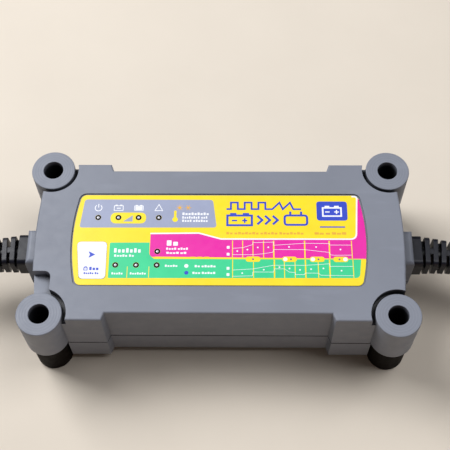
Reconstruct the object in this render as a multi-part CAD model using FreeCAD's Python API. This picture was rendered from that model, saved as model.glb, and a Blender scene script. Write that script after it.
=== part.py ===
import FreeCAD, Part
import math
import os

# Sealed battery charger for motorcycles, millimetres.
# Origin: centre of the footprint on the surface the feet stand on.
# +X right (output lead), -X left (mains lead), +Y back, +Z up.

V = FreeCAD.Vector

# Case
CASE_TOP = 50.8
CASE_BOTTOM = 4.5
PARTING = 22.0
PARTING_GAP = 0.8
END_X = 89.9
END_BULGE = 3.7
WIDE_Y = 42.45
WAIST_X = 53.5
WAIST_Y = 38.7
WAIST_STEP = 1.4
WALL = 2.4
ROOF = 2.6
FLOOR = 2.2
TOP_ROUND = 0.9
BOTTOM_ROUND = 1.5
UPPER_RIM = PARTING + PARTING_GAP / 2
LOWER_RIM = PARTING - PARTING_GAP / 2
ROOF_UNDERSIDE = CASE_TOP - ROOF
FLOOR_TOP = CASE_BOTTOM + FLOOR

# Corner bosses, the grooves round them and the feet below them
BOSS_X = 84.3
BOSS_Y = 39.15
BOSS_R = 10.9
BOSS_BORE_R = 5.0
BOSS_TOP = 50.3
BOSS_BOTTOM = 23.5
BOSS_ROUND = 0.5
GROOVE_R = 12.9
GROOVE_FLOOR = 45.8
BOSS_KEEP_OUT_R = GROOVE_R + 2.2
FOOT_R = 9.25
FOOT_CLEARANCE = 1.15
FOOT_ROUND = 0.8
FOOT_HOLE_R = 2.75
SPIGOT_R = BOSS_BORE_R - 0.05
SPIGOT_TOP = 30.0

# Notch in the roof beside the front left boss
NOTCH_X = -80.4
NOTCH_BACK_Y = -17.2
NOTCH_ROUND = 3.0

# Cable collars on both ends and the rubber boots that leave them
COLLAR_HALF = 9.2
COLLAR_FACE = 95.4
COLLAR_BOTTOM = 17.6
COLLAR_TOP = 43.3
COLLAR_ROUND = 2.2
CORD_Z = 33.6
NECK_WIDTH = 12.0
NECK_HEIGHT = 10.0
NECK_ROUND = 3.0
NECK_LENGTH = COLLAR_FACE - END_X + WALL + 0.3
FLANGE_WIDTH = 16.0
FLANGE_HEIGHT = 14.0
FLANGE_THICK = 2.5
FLANGE_ROUND = 3.0
BOOT_WIDTH = 16.8
BOOT_HEIGHT = 13.4
BOOT_END_WIDTH = 11.6
BOOT_END_HEIGHT = 10.4
BOOT_LENGTH = 45.0
BOOT_BLOCK = 4.6
BOOT_PITCH = 4.0
BOOT_RIB = 2.3
BOOT_CORE_R = 4.3
BOOT_BLOCK_ROUND = 2.6
BOOT_RIB_ROUND = 2.4
BOOT_WEB = 3.6
BOOT_WEB_INSET = 0.5
BOOT_WEB_ROUND = 0.5
BOOT_WEB_OVERLAP = 0.2
BOOT_BEND_R = 140.0
BOOT_DROOP_DEG = 20.0

# Label, its pocket, the mode key and the indicator lights
LABEL_FRONT = -24.3
LABEL_BACK = 24.6
LABEL_HALF = 68.3
LABEL_BULGE = 3.0
LABEL_ROUND = 3.0
LABEL_MARGIN = 0.8
LABEL_THICK = 0.3
POCKET_FLOOR = CASE_TOP - 0.6
LABEL_TOP = POCKET_FLOOR + LABEL_THICK
KEY_BACK_Y = -1.5
KEY_FRONT_Y = -21.0
KEY_CORNERS_X = (-68.9, -54.6, -54.3, -66.7)
KEY_ROUND = 1.6
KEY_GAP = 0.25
KEY_CENTRE = (-61.4, -11.2)
KEY_TRAVEL = 0.4
KEY_PAD_THICK = 0.4
PUSHER_SIZE = (8.0, 13.0, 0.45)
PUSHER_STEM_R = 2.0
RECESS_DEPTH = 1.0
PAD_RECESS_DEPTH = KEY_TRAVEL + 0.15
LIGHT_X0 = -59.7
LIGHT_PITCH = 9.95
LIGHT_ROW_BACK = 12.0
LIGHT_ROW_MIDDLE = -6.5
LIGHT_ROW_FRONT = -13.8
LIGHT_R = 1.4
LIGHT_GAP = 0.05

# Display board under the roof
DISPLAY_X = (-70.0, -13.0)
DISPLAY_Y = (-19.0, 19.0)
DISPLAY_TOP = 44.2
DISPLAY_THICK = 1.2
DISPLAY_POSTS = ((-66.0, 15.5), (-17.0, 15.5), (-17.0, -15.5))
LED_SIZE = (2.0, 1.25, 1.0)
SWITCH_SIZE = 6.2
SWITCH_HEIGHT = 3.5
PLUNGER_R = 1.75
PLUNGER_PROUD = 1.0
PLUNGER_DEPTH = 0.45

# Main board, and the posts and screw towers
BOARD_HALF_X = 57.0
BOARD_HALF_Y = 33.0
BOARD_BOTTOM = 9.0
BOARD_TOP = 10.6
BOARD_POST_X = 52.0
BOARD_POST_Y = 28.5
BOARD_POST_R = 3.2
TOWER_X = 63.5
TOWER_Y = 33.0
TOWER_R = 4.8
SHELL_SCREW_R = 1.45
SHELL_SCREW_HEAD_R = 3.0
SHELL_SCREW_SEAT = 8.7
SHELL_SCREW_TIP = 38.0

# Blank plate on the underside
PLATE_HALF_X = 36.0
PLATE_HALF_Y = 19.0
PLATE_RECESS = 0.4
PLATE_THICK = 0.3

# Leads
CORD_R = 3.5
COIL_TURN_RADII = (44.0, 37.0, 30.0)
COIL_BASE = 0.6
COIL_JOIN_DEG = 45.0
TAIL_START_RADIUS = 49.6
TAIL_RADIUS = 51.6
TAIL_STEP_DEG = 22.5
TAIL_TURN_DEG = 225.0
TIE_WIDTH = 8.0
TIE_ANGLES_DEG = (262.0, 318.0)
LOWER_TURN_Z = COIL_BASE + CORD_R
UPPER_TURN_Z = COIL_BASE + 3 * CORD_R

# Points of the free stretch of each lead, from its boot down to its coil
MAINS_LEAD = (
    (-139.2, -6.7, 31.2), (-153.9, -11.3, 29.4), (-166.6, -16.6, 21.9),
    (-177.6, -22.9, 14.0), (-187.2, -32.3, UPPER_TURN_Z),
)
OUTPUT_LEAD = (
    (139.2, -6.7, 31.2), (153.8, -11.5, 29.3), (166.3, -17.3, 21.8),
    (177.2, -24.2, 14.0), (186.3, -33.9, UPPER_TURN_Z),
)

# Parts on the main board
FUSE_X = -46.0
FUSE_ENDS_Y = (-26.0, -6.0)
FUSE_Z = 16.5
FUSE_R = 2.3
FUSE_CAP_R = 2.6
FUSE_CAP_LENGTH = 5.0
CLIP_HALF_WIDTH = 3.6
CLIP_THICK = 0.8
CLIP_LENGTH = 3.0
CLIP_TOP = 17.5
VARISTOR_PLACE = (-50.0, 6.0, 18.5)
VARISTOR_R = 5.0
VARISTOR_THICK = 4.0
FILTER_PLACE = (-42.0, 22.0)
FILTER_SIZE = (7.0, 15.0, 13.0)
CHOKE_X, CHOKE_Y, CHOKE_Z = -30.0, -18.0, 13.0
CHOKE_HEIGHT = 7.0
CHOKE_R = 8.0
CHOKE_HOLE_R = 4.5
CHOKE_WIRE = 1.4
CHOKE_SPLIT = 2.2
BRIDGE_PLACE = (-32.0, 6.0)
BRIDGE_SIZE = (15.0, 4.0, 11.0)
BRIDGE_LEGS_X = (-5.7, -1.9, 1.9, 5.7)
LEG_LENGTH = 3.0
BULK_CAN = (-12.5, -21.0, 8.0, 25.0)
OUTPUT_CANS = ((27.0, -20.0, 5.0, 20.0), (39.0, -20.0, 5.0, 20.0))
CORE_X, CORE_Y, CORE_Z = 3.0, 5.0, 13.0
CORE_WIDTH, CORE_DEPTH, CORE_HEIGHT = 30.0, 13.0, 26.0
CORE_BACK = 4.5
CORE_LEG = 4.5
CORE_WINDOW = 6.0
BOBBIN_TUBE = (11.2, 15.2)
BOBBIN_FLANGE = (20.6, 23.0, 1.2)
BOBBIN_RAIL = 3.0
WINDING_SIZE = (20.0, 22.0)
HEATSINK_BACK = 31.0
HEATSINK_DEPTH = 5.0
HEATSINK_HEIGHT = 25.0
HEATSINK_FACE = HEATSINK_BACK - HEATSINK_DEPTH
FIN_THICK = 1.2
FIN_PITCH = 4.0
TRANSISTOR_SIZE = (10.0, 4.4, 9.0)
TRANSISTOR_TAB = (1.3, 6.5)
TRANSISTOR_LEG = 4.0
TRANSISTOR_LEG_PITCH = 2.54
INDUCTOR_PLACE = (41.0, 2.0)
INDUCTOR_R = 7.0
INDUCTOR_WIRE_R = 3.4
CHIPS = ((18.0, -27.0, 9.0, 6.0, 2.4), (43.0, 18.0, 9.0, 9.0, 1.2))
OPTOCOUPLER_X = 4.0
OPTOCOUPLERS_Y = (-28.0, -19.0)
OPTOCOUPLER_SIZE = (4.6, 6.5, 3.2)
HEADER_X, HEADER_Y = -29.0, 15.0
HEADER_SIZE = (12.0, 4.0, 4.0)
RIBBON_SIZE = (10.0, 0.9)
WIRE_R = 1.1
WIRES_END_X = 53.5

# Plug and connector on the leads
PLUG_AXIS_Z = 6.85
PLUG_RELIEF = 16.0
PLUG_LENGTH = 34.0
PLUG_WIDTH = 35.3
PLUG_REAR_WIDTH = 12.0
PLUG_SHOULDER = 15.0
PLUG_ROUND = 2.5
PIN_R = 2.0
PIN_LENGTH = 19.0
PIN_SPACING = 18.6
CONNECTOR_LENGTH = 30.0
CONNECTOR_WIDTH = 16.0
CONNECTOR_HEIGHT = 9.0
CONTACT_R = 2.0
CONTACT_LENGTH = 10.0
CONTACT_SPACING = 8.0
SLEEVE_R = 3.4


def box(x0, x1, y0, y1, z0, z1):
    """Axis-aligned block between two corners."""
    return Part.makeBox(x1 - x0, y1 - y0, z1 - z0, V(x0, y0, z0))


def block(x, y, z0, size_x, size_y, height):
    """Block centred on x, y that stands on z0."""
    return box(x - size_x / 2, x + size_x / 2, y - size_y / 2, y + size_y / 2, z0, z0 + height)


def cylinder(x, y, z0, z1, radius):
    """Upright cylinder."""
    return Part.makeCylinder(radius, z1 - z0, V(x, y, z0))


def ring(x, y, z0, z1, outer, inner):
    """Upright ring of rectangular section."""
    return cylinder(x, y, z0, z1, outer).cut(cylinder(x, y, z0, z1, inner))


def fuse(shapes):
    """One solid from shapes that touch or overlap."""
    first, rest = shapes[0], shapes[1:]
    return first.fuse(rest).removeSplitter() if rest else first


def prism(face, z0, z1):
    """Face in the XY plane pushed up from z0 to z1."""
    raised = face.copy()
    raised.translate(V(0, 0, z0))
    return raised.extrude(V(0, 0, z1 - z0))


def polygon_face(points):
    """Flat face with straight sides through XY points."""
    stops = [V(x, y, 0) for x, y in points]
    return Part.Face(Part.makePolygon(stops + stops[:1]))


def round_edges(solid, radius, chosen):
    """Fillet of the edges that the test picks."""
    edges = [edge for edge in solid.Edges if chosen(edge)]
    return solid.makeFillet(radius, edges)


def is_upright(edge):
    """True for a straight edge along Z."""
    reach = edge.BoundBox
    return reach.XLength < 1e-4 and reach.YLength < 1e-4


def lies_at(height):
    """Test for edges in a level plane."""
    def test(edge):
        return abs(edge.BoundBox.ZMin - height) < 1e-4 and abs(edge.BoundBox.ZMax - height) < 1e-4
    return test


def rounded_slab(thick, width, height, corner):
    """Slab from x = 0 to thick, centred on the X axis, with round corners seen along X."""
    slab = Part.makeBox(thick, width, height, V(0, -width / 2, -height / 2))
    return round_edges(slab, corner, lambda edge: edge.BoundBox.XLength > thick / 2)


def case_outline():
    """Plan outline of the case: wide ends, a narrower waist, slightly bowed end walls."""
    end = END_X - END_BULGE
    step = WAIST_X + WAIST_STEP

    def side(sign):
        stations = ((end, WIDE_Y), (step, WIDE_Y), (WAIST_X, WAIST_Y),
                    (-WAIST_X, WAIST_Y), (-step, WIDE_Y), (-end, WIDE_Y))
        stops = [V(sign * x, sign * y, 0) for x, y in stations]
        bow = Part.Arc(V(sign * end, -sign * WIDE_Y, 0), V(sign * END_X, 0, 0), stops[0])
        return [bow.toShape()] + [Part.makeLine(a, b) for a, b in zip(stops, stops[1:])]

    return Part.Face(Part.Wire(side(1) + side(-1)))


def inset(face, distance):
    """Outline drawn in by a distance, with its corners kept sharp."""
    return face.makeOffset2D(-distance, 2)


def corners(x, y):
    """The four mirror positions of a point."""
    return [(sx * x, sy * y) for sx in (-1, 1) for sy in (-1, 1)]


def upper_collar(side):
    """Square lug on the end wall, with softened top, that the boot leaves."""
    lug = box(END_X - WALL + 0.2, COLLAR_FACE, -COLLAR_HALF, COLLAR_HALF, UPPER_RIM, COLLAR_TOP)

    def outer_top(edge):
        middle = edge.CenterOfMass
        return middle.z > COLLAR_TOP - 0.1 and middle.x > END_X - WALL + 0.3

    lug = round_edges(lug, COLLAR_ROUND, outer_top)
    return lug if side > 0 else lug.mirror(V(0, 0, 0), V(1, 0, 0))


def boot_slot(side):
    """Rounded hole for the boot's neck, open downwards to the parting plane."""
    reach = COLLAR_FACE - END_X + WALL + 4
    hole = rounded_slab(reach, NECK_WIDTH, NECK_HEIGHT, NECK_ROUND)
    hole.translate(V(COLLAR_FACE - reach + 0.5, 0, CORD_Z))
    slot = box(COLLAR_FACE - reach + 0.5, COLLAR_FACE + 0.5, -NECK_WIDTH / 2, NECK_WIDTH / 2,
               UPPER_RIM - 1, CORD_Z)
    cut = fuse([hole, slot])
    return cut if side > 0 else cut.mirror(V(0, 0, 0), V(1, 0, 0))


def label_face(grow):
    """Label outline: straight front and back, bowed ends, grown by a margin."""
    half = LABEL_HALF + grow
    front, back = LABEL_FRONT - grow, LABEL_BACK + grow
    middle = (front + back) / 2
    edges = [
        Part.makeLine(V(-half, front, 0), V(half, front, 0)),
        Part.Arc(V(half, front, 0), V(half + LABEL_BULGE, middle, 0), V(half, back, 0)).toShape(),
        Part.makeLine(V(half, back, 0), V(-half, back, 0)),
        Part.Arc(V(-half, back, 0), V(-half - LABEL_BULGE, middle, 0), V(-half, front, 0)).toShape(),
    ]
    return Part.Face(Part.Wire(edges))


def label_prism(grow, z0, z1):
    """Block under the label outline with its corners rounded."""
    return round_edges(prism(label_face(grow), z0, z1), LABEL_ROUND + grow, is_upright)


def key_prism(grow, z0, z1):
    """Block under the mode key's outline, grown by a gap."""
    left_back, right_back, right_front, left_front = KEY_CORNERS_X
    outline = ((left_back - grow, KEY_BACK_Y + grow), (left_front - grow, KEY_FRONT_Y - grow),
               (right_front + grow, KEY_FRONT_Y - grow), (right_back + grow, KEY_BACK_Y + grow))
    return round_edges(prism(polygon_face(outline), z0, z1), KEY_ROUND + grow, is_upright)


def light_positions():
    """Eight indicator lights on a regular grid."""
    columns = [LIGHT_X0 + LIGHT_PITCH * index for index in range(4)]
    back_row = [(x, LIGHT_ROW_BACK) for x in columns]
    front_row = [(x, LIGHT_ROW_FRONT) for x in columns[1:]]
    return back_row + [(columns[3], LIGHT_ROW_MIDDLE)] + front_row


def upper_cavity():
    """Space inside the upper shell, clear of the bosses and of the notch."""
    space = prism(inset(case_outline(), WALL), UPPER_RIM - 1, ROOF_UNDERSIDE)
    keep_out = [cylinder(x, y, 0, CASE_TOP, BOSS_KEEP_OUT_R) for x, y in corners(BOSS_X, BOSS_Y)]
    under_notch = box(-END_X, NOTCH_X + WALL, -WIDE_Y, NOTCH_BACK_Y + WALL,
                      GROOVE_FLOOR - ROOF, CASE_TOP)
    return space.cut(keep_out + [under_notch])


def notch():
    """Step cut into the roof beside the front left boss, floor level with the grooves."""
    cut = box(-END_X - 2, NOTCH_X, -BOSS_Y, NOTCH_BACK_Y, GROOVE_FLOOR, CASE_TOP + 1)

    def inner_corner(edge):
        middle = edge.CenterOfMass
        return is_upright(edge) and middle.x > NOTCH_X - 0.1 and middle.y > NOTCH_BACK_Y - 0.1

    return round_edges(cut, NOTCH_ROUND, inner_corner)


def boss(x, y):
    """Round corner post with a softened rim."""
    post = cylinder(x, y, BOSS_BOTTOM, BOSS_TOP, BOSS_R)
    return round_edges(post, BOSS_ROUND, lies_at(BOSS_TOP))


def upper_shell():
    """Roof and walls in one moulding with bosses, collars, screw towers and display posts."""
    body = prism(case_outline(), UPPER_RIM, CASE_TOP)
    body = round_edges(body, TOP_ROUND, lies_at(CASE_TOP))
    boss_places = corners(BOSS_X, BOSS_Y)
    body = body.fuse([upper_collar(-1), upper_collar(1)])
    body = body.cut([cylinder(x, y, GROOVE_FLOOR, CASE_TOP + 1, GROOVE_R) for x, y in boss_places])
    body = body.cut([cylinder(x, y, UPPER_RIM - 1, BOSS_BOTTOM, BOSS_R) for x, y in boss_places])
    body = body.cut([upper_cavity(), notch()])
    body = body.fuse([boss(x, y) for x, y in boss_places])

    towers = [cylinder(x, y, LOWER_RIM, ROOF_UNDERSIDE + 0.2, TOWER_R)
              for x, y in corners(TOWER_X, TOWER_Y)]
    posts = [cylinder(x, y, DISPLAY_TOP, ROOF_UNDERSIDE + 0.2, 2.8) for x, y in DISPLAY_POSTS]
    body = body.fuse(towers + posts)

    cuts = [cylinder(x, y, 0, CASE_TOP + 1, BOSS_BORE_R) for x, y in boss_places]
    cuts += [cylinder(x, y, 0, SHELL_SCREW_TIP + 1, SHELL_SCREW_R) for x, y in corners(TOWER_X, TOWER_Y)]
    cuts += [cylinder(x, y, DISPLAY_TOP - 1, ROOF_UNDERSIDE, 1.0) for x, y in DISPLAY_POSTS]
    cuts += [cylinder(x, y, ROOF_UNDERSIDE - 1, CASE_TOP, LIGHT_R + LIGHT_GAP)
             for x, y in light_positions()]
    cuts.append(label_prism(LABEL_MARGIN, POCKET_FLOOR, CASE_TOP + 1))
    key_x, key_y = KEY_CENTRE
    recess_x, recess_y = PUSHER_SIZE[0] + 1.0, PUSHER_SIZE[1] + 1.0
    cuts.append(key_prism(KEY_GAP, POCKET_FLOOR - PAD_RECESS_DEPTH, POCKET_FLOOR))
    cuts.append(block(key_x, key_y, POCKET_FLOOR - RECESS_DEPTH, recess_x, recess_y, RECESS_DEPTH))
    cuts.append(cylinder(key_x, key_y, ROOF_UNDERSIDE - 1, POCKET_FLOOR, PUSHER_STEM_R + 0.3))
    cuts += [boot_slot(-1), boot_slot(1)]
    return body.cut(cuts).removeSplitter()


def lower_plan(distance, z0, z1):
    """Lower shell's plan, drawn in by a distance, with its corners scooped out round the feet."""
    face = inset(case_outline(), distance) if distance else case_outline()
    scoops = [cylinder(x, y, z0 - 1, z1 + 1, FOOT_R + FOOT_CLEARANCE + distance)
              for x, y in corners(BOSS_X, BOSS_Y)]
    return prism(face, z0, z1).cut(scoops)


def lower_collar(side):
    """Lower part of the collar, rounded off underneath, with the tab that closes the boot slot."""
    lug = box(END_X - WALL + 0.2, COLLAR_FACE, -COLLAR_HALF, COLLAR_HALF, COLLAR_BOTTOM, LOWER_RIM)

    def outer_bottom(edge):
        middle = edge.CenterOfMass
        return middle.z < COLLAR_BOTTOM + 0.1 and middle.x > END_X - WALL + 0.3

    lug = round_edges(lug, COLLAR_ROUND, outer_bottom)
    tab = box(END_X - WALL + 0.2, COLLAR_FACE, -NECK_WIDTH / 2 + 0.1, NECK_WIDTH / 2 - 0.1,
              LOWER_RIM - 2, CORD_Z - NECK_HEIGHT / 2)
    whole = fuse([lug, tab])
    return whole if side > 0 else whole.mirror(V(0, 0, 0), V(1, 0, 0))


def lower_shell():
    """Tray with a rounded base, screw towers, board posts and the lower parts of the collars."""
    body = prism(case_outline(), CASE_BOTTOM, LOWER_RIM)
    body = round_edges(body, BOTTOM_ROUND, lies_at(CASE_BOTTOM))
    body = body.cut([cylinder(x, y, 0, PARTING, FOOT_R + FOOT_CLEARANCE)
                     for x, y in corners(BOSS_X, BOSS_Y)])
    body = body.cut(lower_plan(WALL, FLOOR_TOP, PARTING))
    towers = [cylinder(x, y, CASE_BOTTOM + 1, LOWER_RIM, TOWER_R) for x, y in corners(TOWER_X, TOWER_Y)]
    posts = [cylinder(x, y, CASE_BOTTOM + 1, BOARD_BOTTOM, BOARD_POST_R)
             for x, y in corners(BOARD_POST_X, BOARD_POST_Y)]
    body = body.fuse(towers + posts + [lower_collar(-1), lower_collar(1)])
    cuts = [cylinder(x, y, 0, SHELL_SCREW_SEAT, SHELL_SCREW_HEAD_R + 0.4)
            for x, y in corners(TOWER_X, TOWER_Y)]
    cuts += [cylinder(x, y, 0, PARTING, SHELL_SCREW_R + 0.35) for x, y in corners(TOWER_X, TOWER_Y)]
    cuts += [cylinder(x, y, 5.3, BOARD_TOP, 1.2) for x, y in corners(BOARD_POST_X, BOARD_POST_Y)]
    cuts.append(box(-PLATE_HALF_X - 0.5, PLATE_HALF_X + 0.5, -PLATE_HALF_Y - 0.5, PLATE_HALF_Y + 0.5,
                    0, CASE_BOTTOM + PLATE_RECESS))
    return body.cut(cuts).removeSplitter()


def shell_gasket():
    """Flat seal between the shells, set back so that a thin groove shows."""
    seal = lower_plan(0.9, LOWER_RIM, UPPER_RIM).cut(lower_plan(2.1, LOWER_RIM - 1, UPPER_RIM + 1))
    half = NECK_WIDTH / 2 + 0.2
    breaks = [box(side * END_X - 8, side * END_X + 8, -half, half, 0, CASE_TOP) for side in (-1, 1)]
    return seal.cut(breaks)


def foot(x, y):
    """Rubber foot with a spigot up into the boss bore and a hole for a wall screw."""
    pad = cylinder(x, y, 0, BOSS_BOTTOM, FOOT_R)
    pad = round_edges(pad, FOOT_ROUND, lies_at(0))
    spigot = cylinder(x, y, BOSS_BOTTOM, SPIGOT_TOP, SPIGOT_R)
    return fuse([pad, spigot]).cut(cylinder(x, y, -1, SPIGOT_TOP + 1, FOOT_HOLE_R))


def label_overlay():
    """Printed film in the pocket, open at the lights and round the mode key."""
    film = label_prism(0, POCKET_FLOOR, LABEL_TOP)
    holes = [cylinder(x, y, 0, CASE_TOP, LIGHT_R + LIGHT_GAP) for x, y in light_positions()]
    return film.cut(holes + [key_prism(KEY_GAP, POCKET_FLOOR - 1, CASE_TOP)])


def mode_key_pad():
    """Raised pad of the key with a softened rim."""
    pad = key_prism(0, POCKET_FLOOR, POCKET_FLOOR + KEY_PAD_THICK)
    return round_edges(pad, 0.15, lies_at(POCKET_FLOOR + KEY_PAD_THICK))


def key_pusher():
    """Plate under the pad with a stem that reaches the switch."""
    size_x, size_y, thick = PUSHER_SIZE
    x, y = KEY_CENTRE
    plate = block(x, y, POCKET_FLOOR - thick, size_x, size_y, thick)
    stem_bottom = DISPLAY_TOP + SWITCH_HEIGHT + PLUNGER_PROUD
    return fuse([plate, cylinder(x, y, stem_bottom, POCKET_FLOOR - thick, PUSHER_STEM_R)])


def tact_switch_plunger():
    """Round button of the push switch."""
    x, y = KEY_CENTRE
    top = DISPLAY_TOP + SWITCH_HEIGHT
    return cylinder(x, y, top - PLUNGER_DEPTH, top + PLUNGER_PROUD, PLUNGER_R)


def tact_switch_body():
    """Square push switch with a well for its button."""
    x, y = KEY_CENTRE
    top = DISPLAY_TOP + SWITCH_HEIGHT
    body = block(x, y, DISPLAY_TOP, SWITCH_SIZE, SWITCH_SIZE, SWITCH_HEIGHT)
    return body.cut(cylinder(x, y, top - PLUNGER_DEPTH - KEY_TRAVEL - 0.15, top + 1, PLUNGER_R + 0.1))


def light_windows():
    """Clear pegs from the lamps up to the face of the label."""
    bottom = DISPLAY_TOP + LED_SIZE[2] + 0.2
    return Part.makeCompound([cylinder(x, y, bottom, LABEL_TOP, LIGHT_R) for x, y in light_positions()])


def status_leds():
    """One lamp chip under each window."""
    return Part.makeCompound([block(x, y, DISPLAY_TOP, *LED_SIZE) for x, y in light_positions()])


def display_board():
    """Small circuit board hung under the roof."""
    plate = box(DISPLAY_X[0], DISPLAY_X[1], DISPLAY_Y[0], DISPLAY_Y[1],
                DISPLAY_TOP - DISPLAY_THICK, DISPLAY_TOP)
    return plate.cut([cylinder(x, y, 0, CASE_TOP, 1.3) for x, y in DISPLAY_POSTS])


def screw(x, y, seat, head_r, head_height, shank_r, tip, up):
    """Pan head screw with a cross recess; the head is on the far side of the seat from the tip."""
    sign = -1 if up else 1
    head_end = seat + sign * head_height
    head = cylinder(x, y, min(seat, head_end), max(seat, head_end), head_r)
    head = round_edges(head, head_r * 0.25, lies_at(head_end))
    slot_low, slot_high = sorted((head_end, head_end - sign * head_height * 0.5))
    for size_x, size_y in ((head_r * 1.1, head_r * 0.28), (head_r * 0.28, head_r * 1.1)):
        head = head.cut(block(x, y, slot_low, size_x, size_y, slot_high - slot_low))
    return fuse([head, cylinder(x, y, min(seat, tip), max(seat, tip), shank_r)])


def shell_screws():
    """Four screws from below that hold the shells together."""
    return Part.makeCompound([
        screw(x, y, SHELL_SCREW_SEAT, SHELL_SCREW_HEAD_R, 2.6, SHELL_SCREW_R, SHELL_SCREW_TIP, True)
        for x, y in corners(TOWER_X, TOWER_Y)])


def board_screws():
    """Four screws that hold the main board on its posts."""
    return Part.makeCompound([screw(x, y, BOARD_TOP, 2.6, 1.8, 1.15, 5.5, False)
                              for x, y in corners(BOARD_POST_X, BOARD_POST_Y)])


def display_screws():
    """Three screws that hold the display board to the roof posts."""
    return Part.makeCompound([
        screw(x, y, DISPLAY_TOP - DISPLAY_THICK, 2.2, 1.5, 0.95, ROOF_UNDERSIDE - 0.6, True)
        for x, y in DISPLAY_POSTS])


def main_board():
    """Power board with its four screw holes."""
    plate = box(-BOARD_HALF_X, BOARD_HALF_X, -BOARD_HALF_Y, BOARD_HALF_Y, BOARD_BOTTOM, BOARD_TOP)
    return plate.cut([cylinder(x, y, 0, CASE_TOP, 1.5) for x, y in corners(BOARD_POST_X, BOARD_POST_Y)])


def rating_plate():
    """Blank plate on the underside."""
    z1 = CASE_BOTTOM + PLATE_RECESS
    plate = box(-PLATE_HALF_X, PLATE_HALF_X, -PLATE_HALF_Y, PLATE_HALF_Y, z1 - PLATE_THICK, z1)
    return round_edges(plate, 2.0, is_upright)


def along_y(x, y0, y1, z, radius):
    """Cylinder that lies along Y."""
    return Part.makeCylinder(radius, y1 - y0, V(x, y0, z), V(0, 1, 0))


def mains_fuse():
    """Glass fuse with metal caps, lying along Y."""
    y0, y1 = FUSE_ENDS_Y
    glass = along_y(FUSE_X, y0, y1, FUSE_Z, FUSE_R)
    caps = [along_y(FUSE_X, start, start + FUSE_CAP_LENGTH, FUSE_Z, FUSE_CAP_R)
            for start in (y0, y1 - FUSE_CAP_LENGTH)]
    return fuse([glass] + caps)


def fuse_clips():
    """Two sprung clips under the fuse's caps."""
    inner = CLIP_HALF_WIDTH - CLIP_THICK
    clips = []
    for y in (FUSE_ENDS_Y[0] + 1.0, FUSE_ENDS_Y[1] - CLIP_LENGTH - 1.0):
        clip = block(FUSE_X, y + CLIP_LENGTH / 2, BOARD_TOP,
                     2 * CLIP_HALF_WIDTH, CLIP_LENGTH, CLIP_TOP - BOARD_TOP)
        hollow = box(FUSE_X - inner, FUSE_X + inner, y - 1, y + CLIP_LENGTH + 1, BOARD_TOP + 2, CLIP_TOP + 1)
        clips.append(clip.cut([hollow, along_y(FUSE_X, y - 1, y + CLIP_LENGTH + 1, FUSE_Z, FUSE_CAP_R)]))
    return Part.makeCompound(clips)


def varistor():
    """Surge absorber: a disc on two legs."""
    x, y, z = VARISTOR_PLACE
    disc = Part.makeCylinder(VARISTOR_R, VARISTOR_THICK, V(x, y, z), V(1, 0, 0))
    legs = [cylinder(x + VARISTOR_THICK / 2, y + offset, BOARD_TOP, z - VARISTOR_R / 2, 0.4)
            for offset in (-VARISTOR_R / 2, VARISTOR_R / 2)]
    return fuse([round_edges(disc, 1.2, lambda edge: True)] + legs)


def filter_capacitor():
    """Box capacitor across the mains."""
    body = block(*FILTER_PLACE, BOARD_TOP, *FILTER_SIZE)
    return round_edges(body, 0.6, lambda edge: edge.CenterOfMass.z > BOARD_TOP + 0.1)


def choke_core():
    """Ferrite ring of the mains choke."""
    return ring(CHOKE_X, CHOKE_Y, CHOKE_Z, CHOKE_Z + CHOKE_HEIGHT, CHOKE_R, CHOKE_HOLE_R)


def choke_windings():
    """Two separate windings on opposite sides of the ring, standing on the board."""
    shell = ring(CHOKE_X, CHOKE_Y, BOARD_TOP, CHOKE_Z + CHOKE_HEIGHT + CHOKE_WIRE,
                 CHOKE_R + CHOKE_WIRE, CHOKE_HOLE_R - CHOKE_WIRE)
    shell = shell.cut(choke_core())
    reach = 2 * CHOKE_R
    halves = [shell.common(box(CHOKE_X - reach, CHOKE_X + reach, CHOKE_Y + low, CHOKE_Y + high, 0, CASE_TOP))
              for low, high in ((-reach, -CHOKE_SPLIT), (CHOKE_SPLIT, reach))]
    return Part.makeCompound(halves)


def bridge_rectifier():
    """Flat rectifier block standing on four legs."""
    x, y = BRIDGE_PLACE
    body = block(x, y, BOARD_TOP + LEG_LENGTH, *BRIDGE_SIZE)
    legs = [block(x + offset, y, BOARD_TOP, 1.0, 0.8, LEG_LENGTH + 0.5) for offset in BRIDGE_LEGS_X]
    return fuse([body] + legs)


def can_capacitor(x, y, radius, height):
    """Electrolytic can with a rolled groove near its foot."""
    can = cylinder(x, y, BOARD_TOP, BOARD_TOP + height, radius)
    can = round_edges(can, 0.6, lies_at(BOARD_TOP + height))
    roll = Part.makeTorus(radius + 0.4, 0.9, V(x, y, BOARD_TOP + 3.0))
    return can.cut(roll)


def bulk_capacitor():
    """Large mains reservoir capacitor."""
    return can_capacitor(*BULK_CAN)


def output_capacitors():
    """Pair of output reservoir capacitors."""
    return Part.makeCompound([can_capacitor(*can) for can in OUTPUT_CANS])


def transformer_core():
    """Two E-shaped ferrite halves that meet at mid height."""
    halves = []
    top = CORE_Z + CORE_HEIGHT
    middle = CORE_Z + CORE_HEIGHT / 2
    for z0, z1, w0, w1 in ((CORE_Z, middle, CORE_Z + CORE_BACK, middle + 1),
                           (middle, top, middle - 1, top - CORE_BACK)):
        half = block(CORE_X, CORE_Y, z0, CORE_WIDTH, CORE_DEPTH, z1 - z0)
        centre = CORE_LEG + CORE_WINDOW / 2
        windows = [block(CORE_X + sign * centre, CORE_Y, w0, CORE_WINDOW, CORE_DEPTH + 2, w1 - w0)
                   for sign in (-1, 1)]
        halves.append(half.cut(windows))
    return Part.makeCompound(halves)


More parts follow.
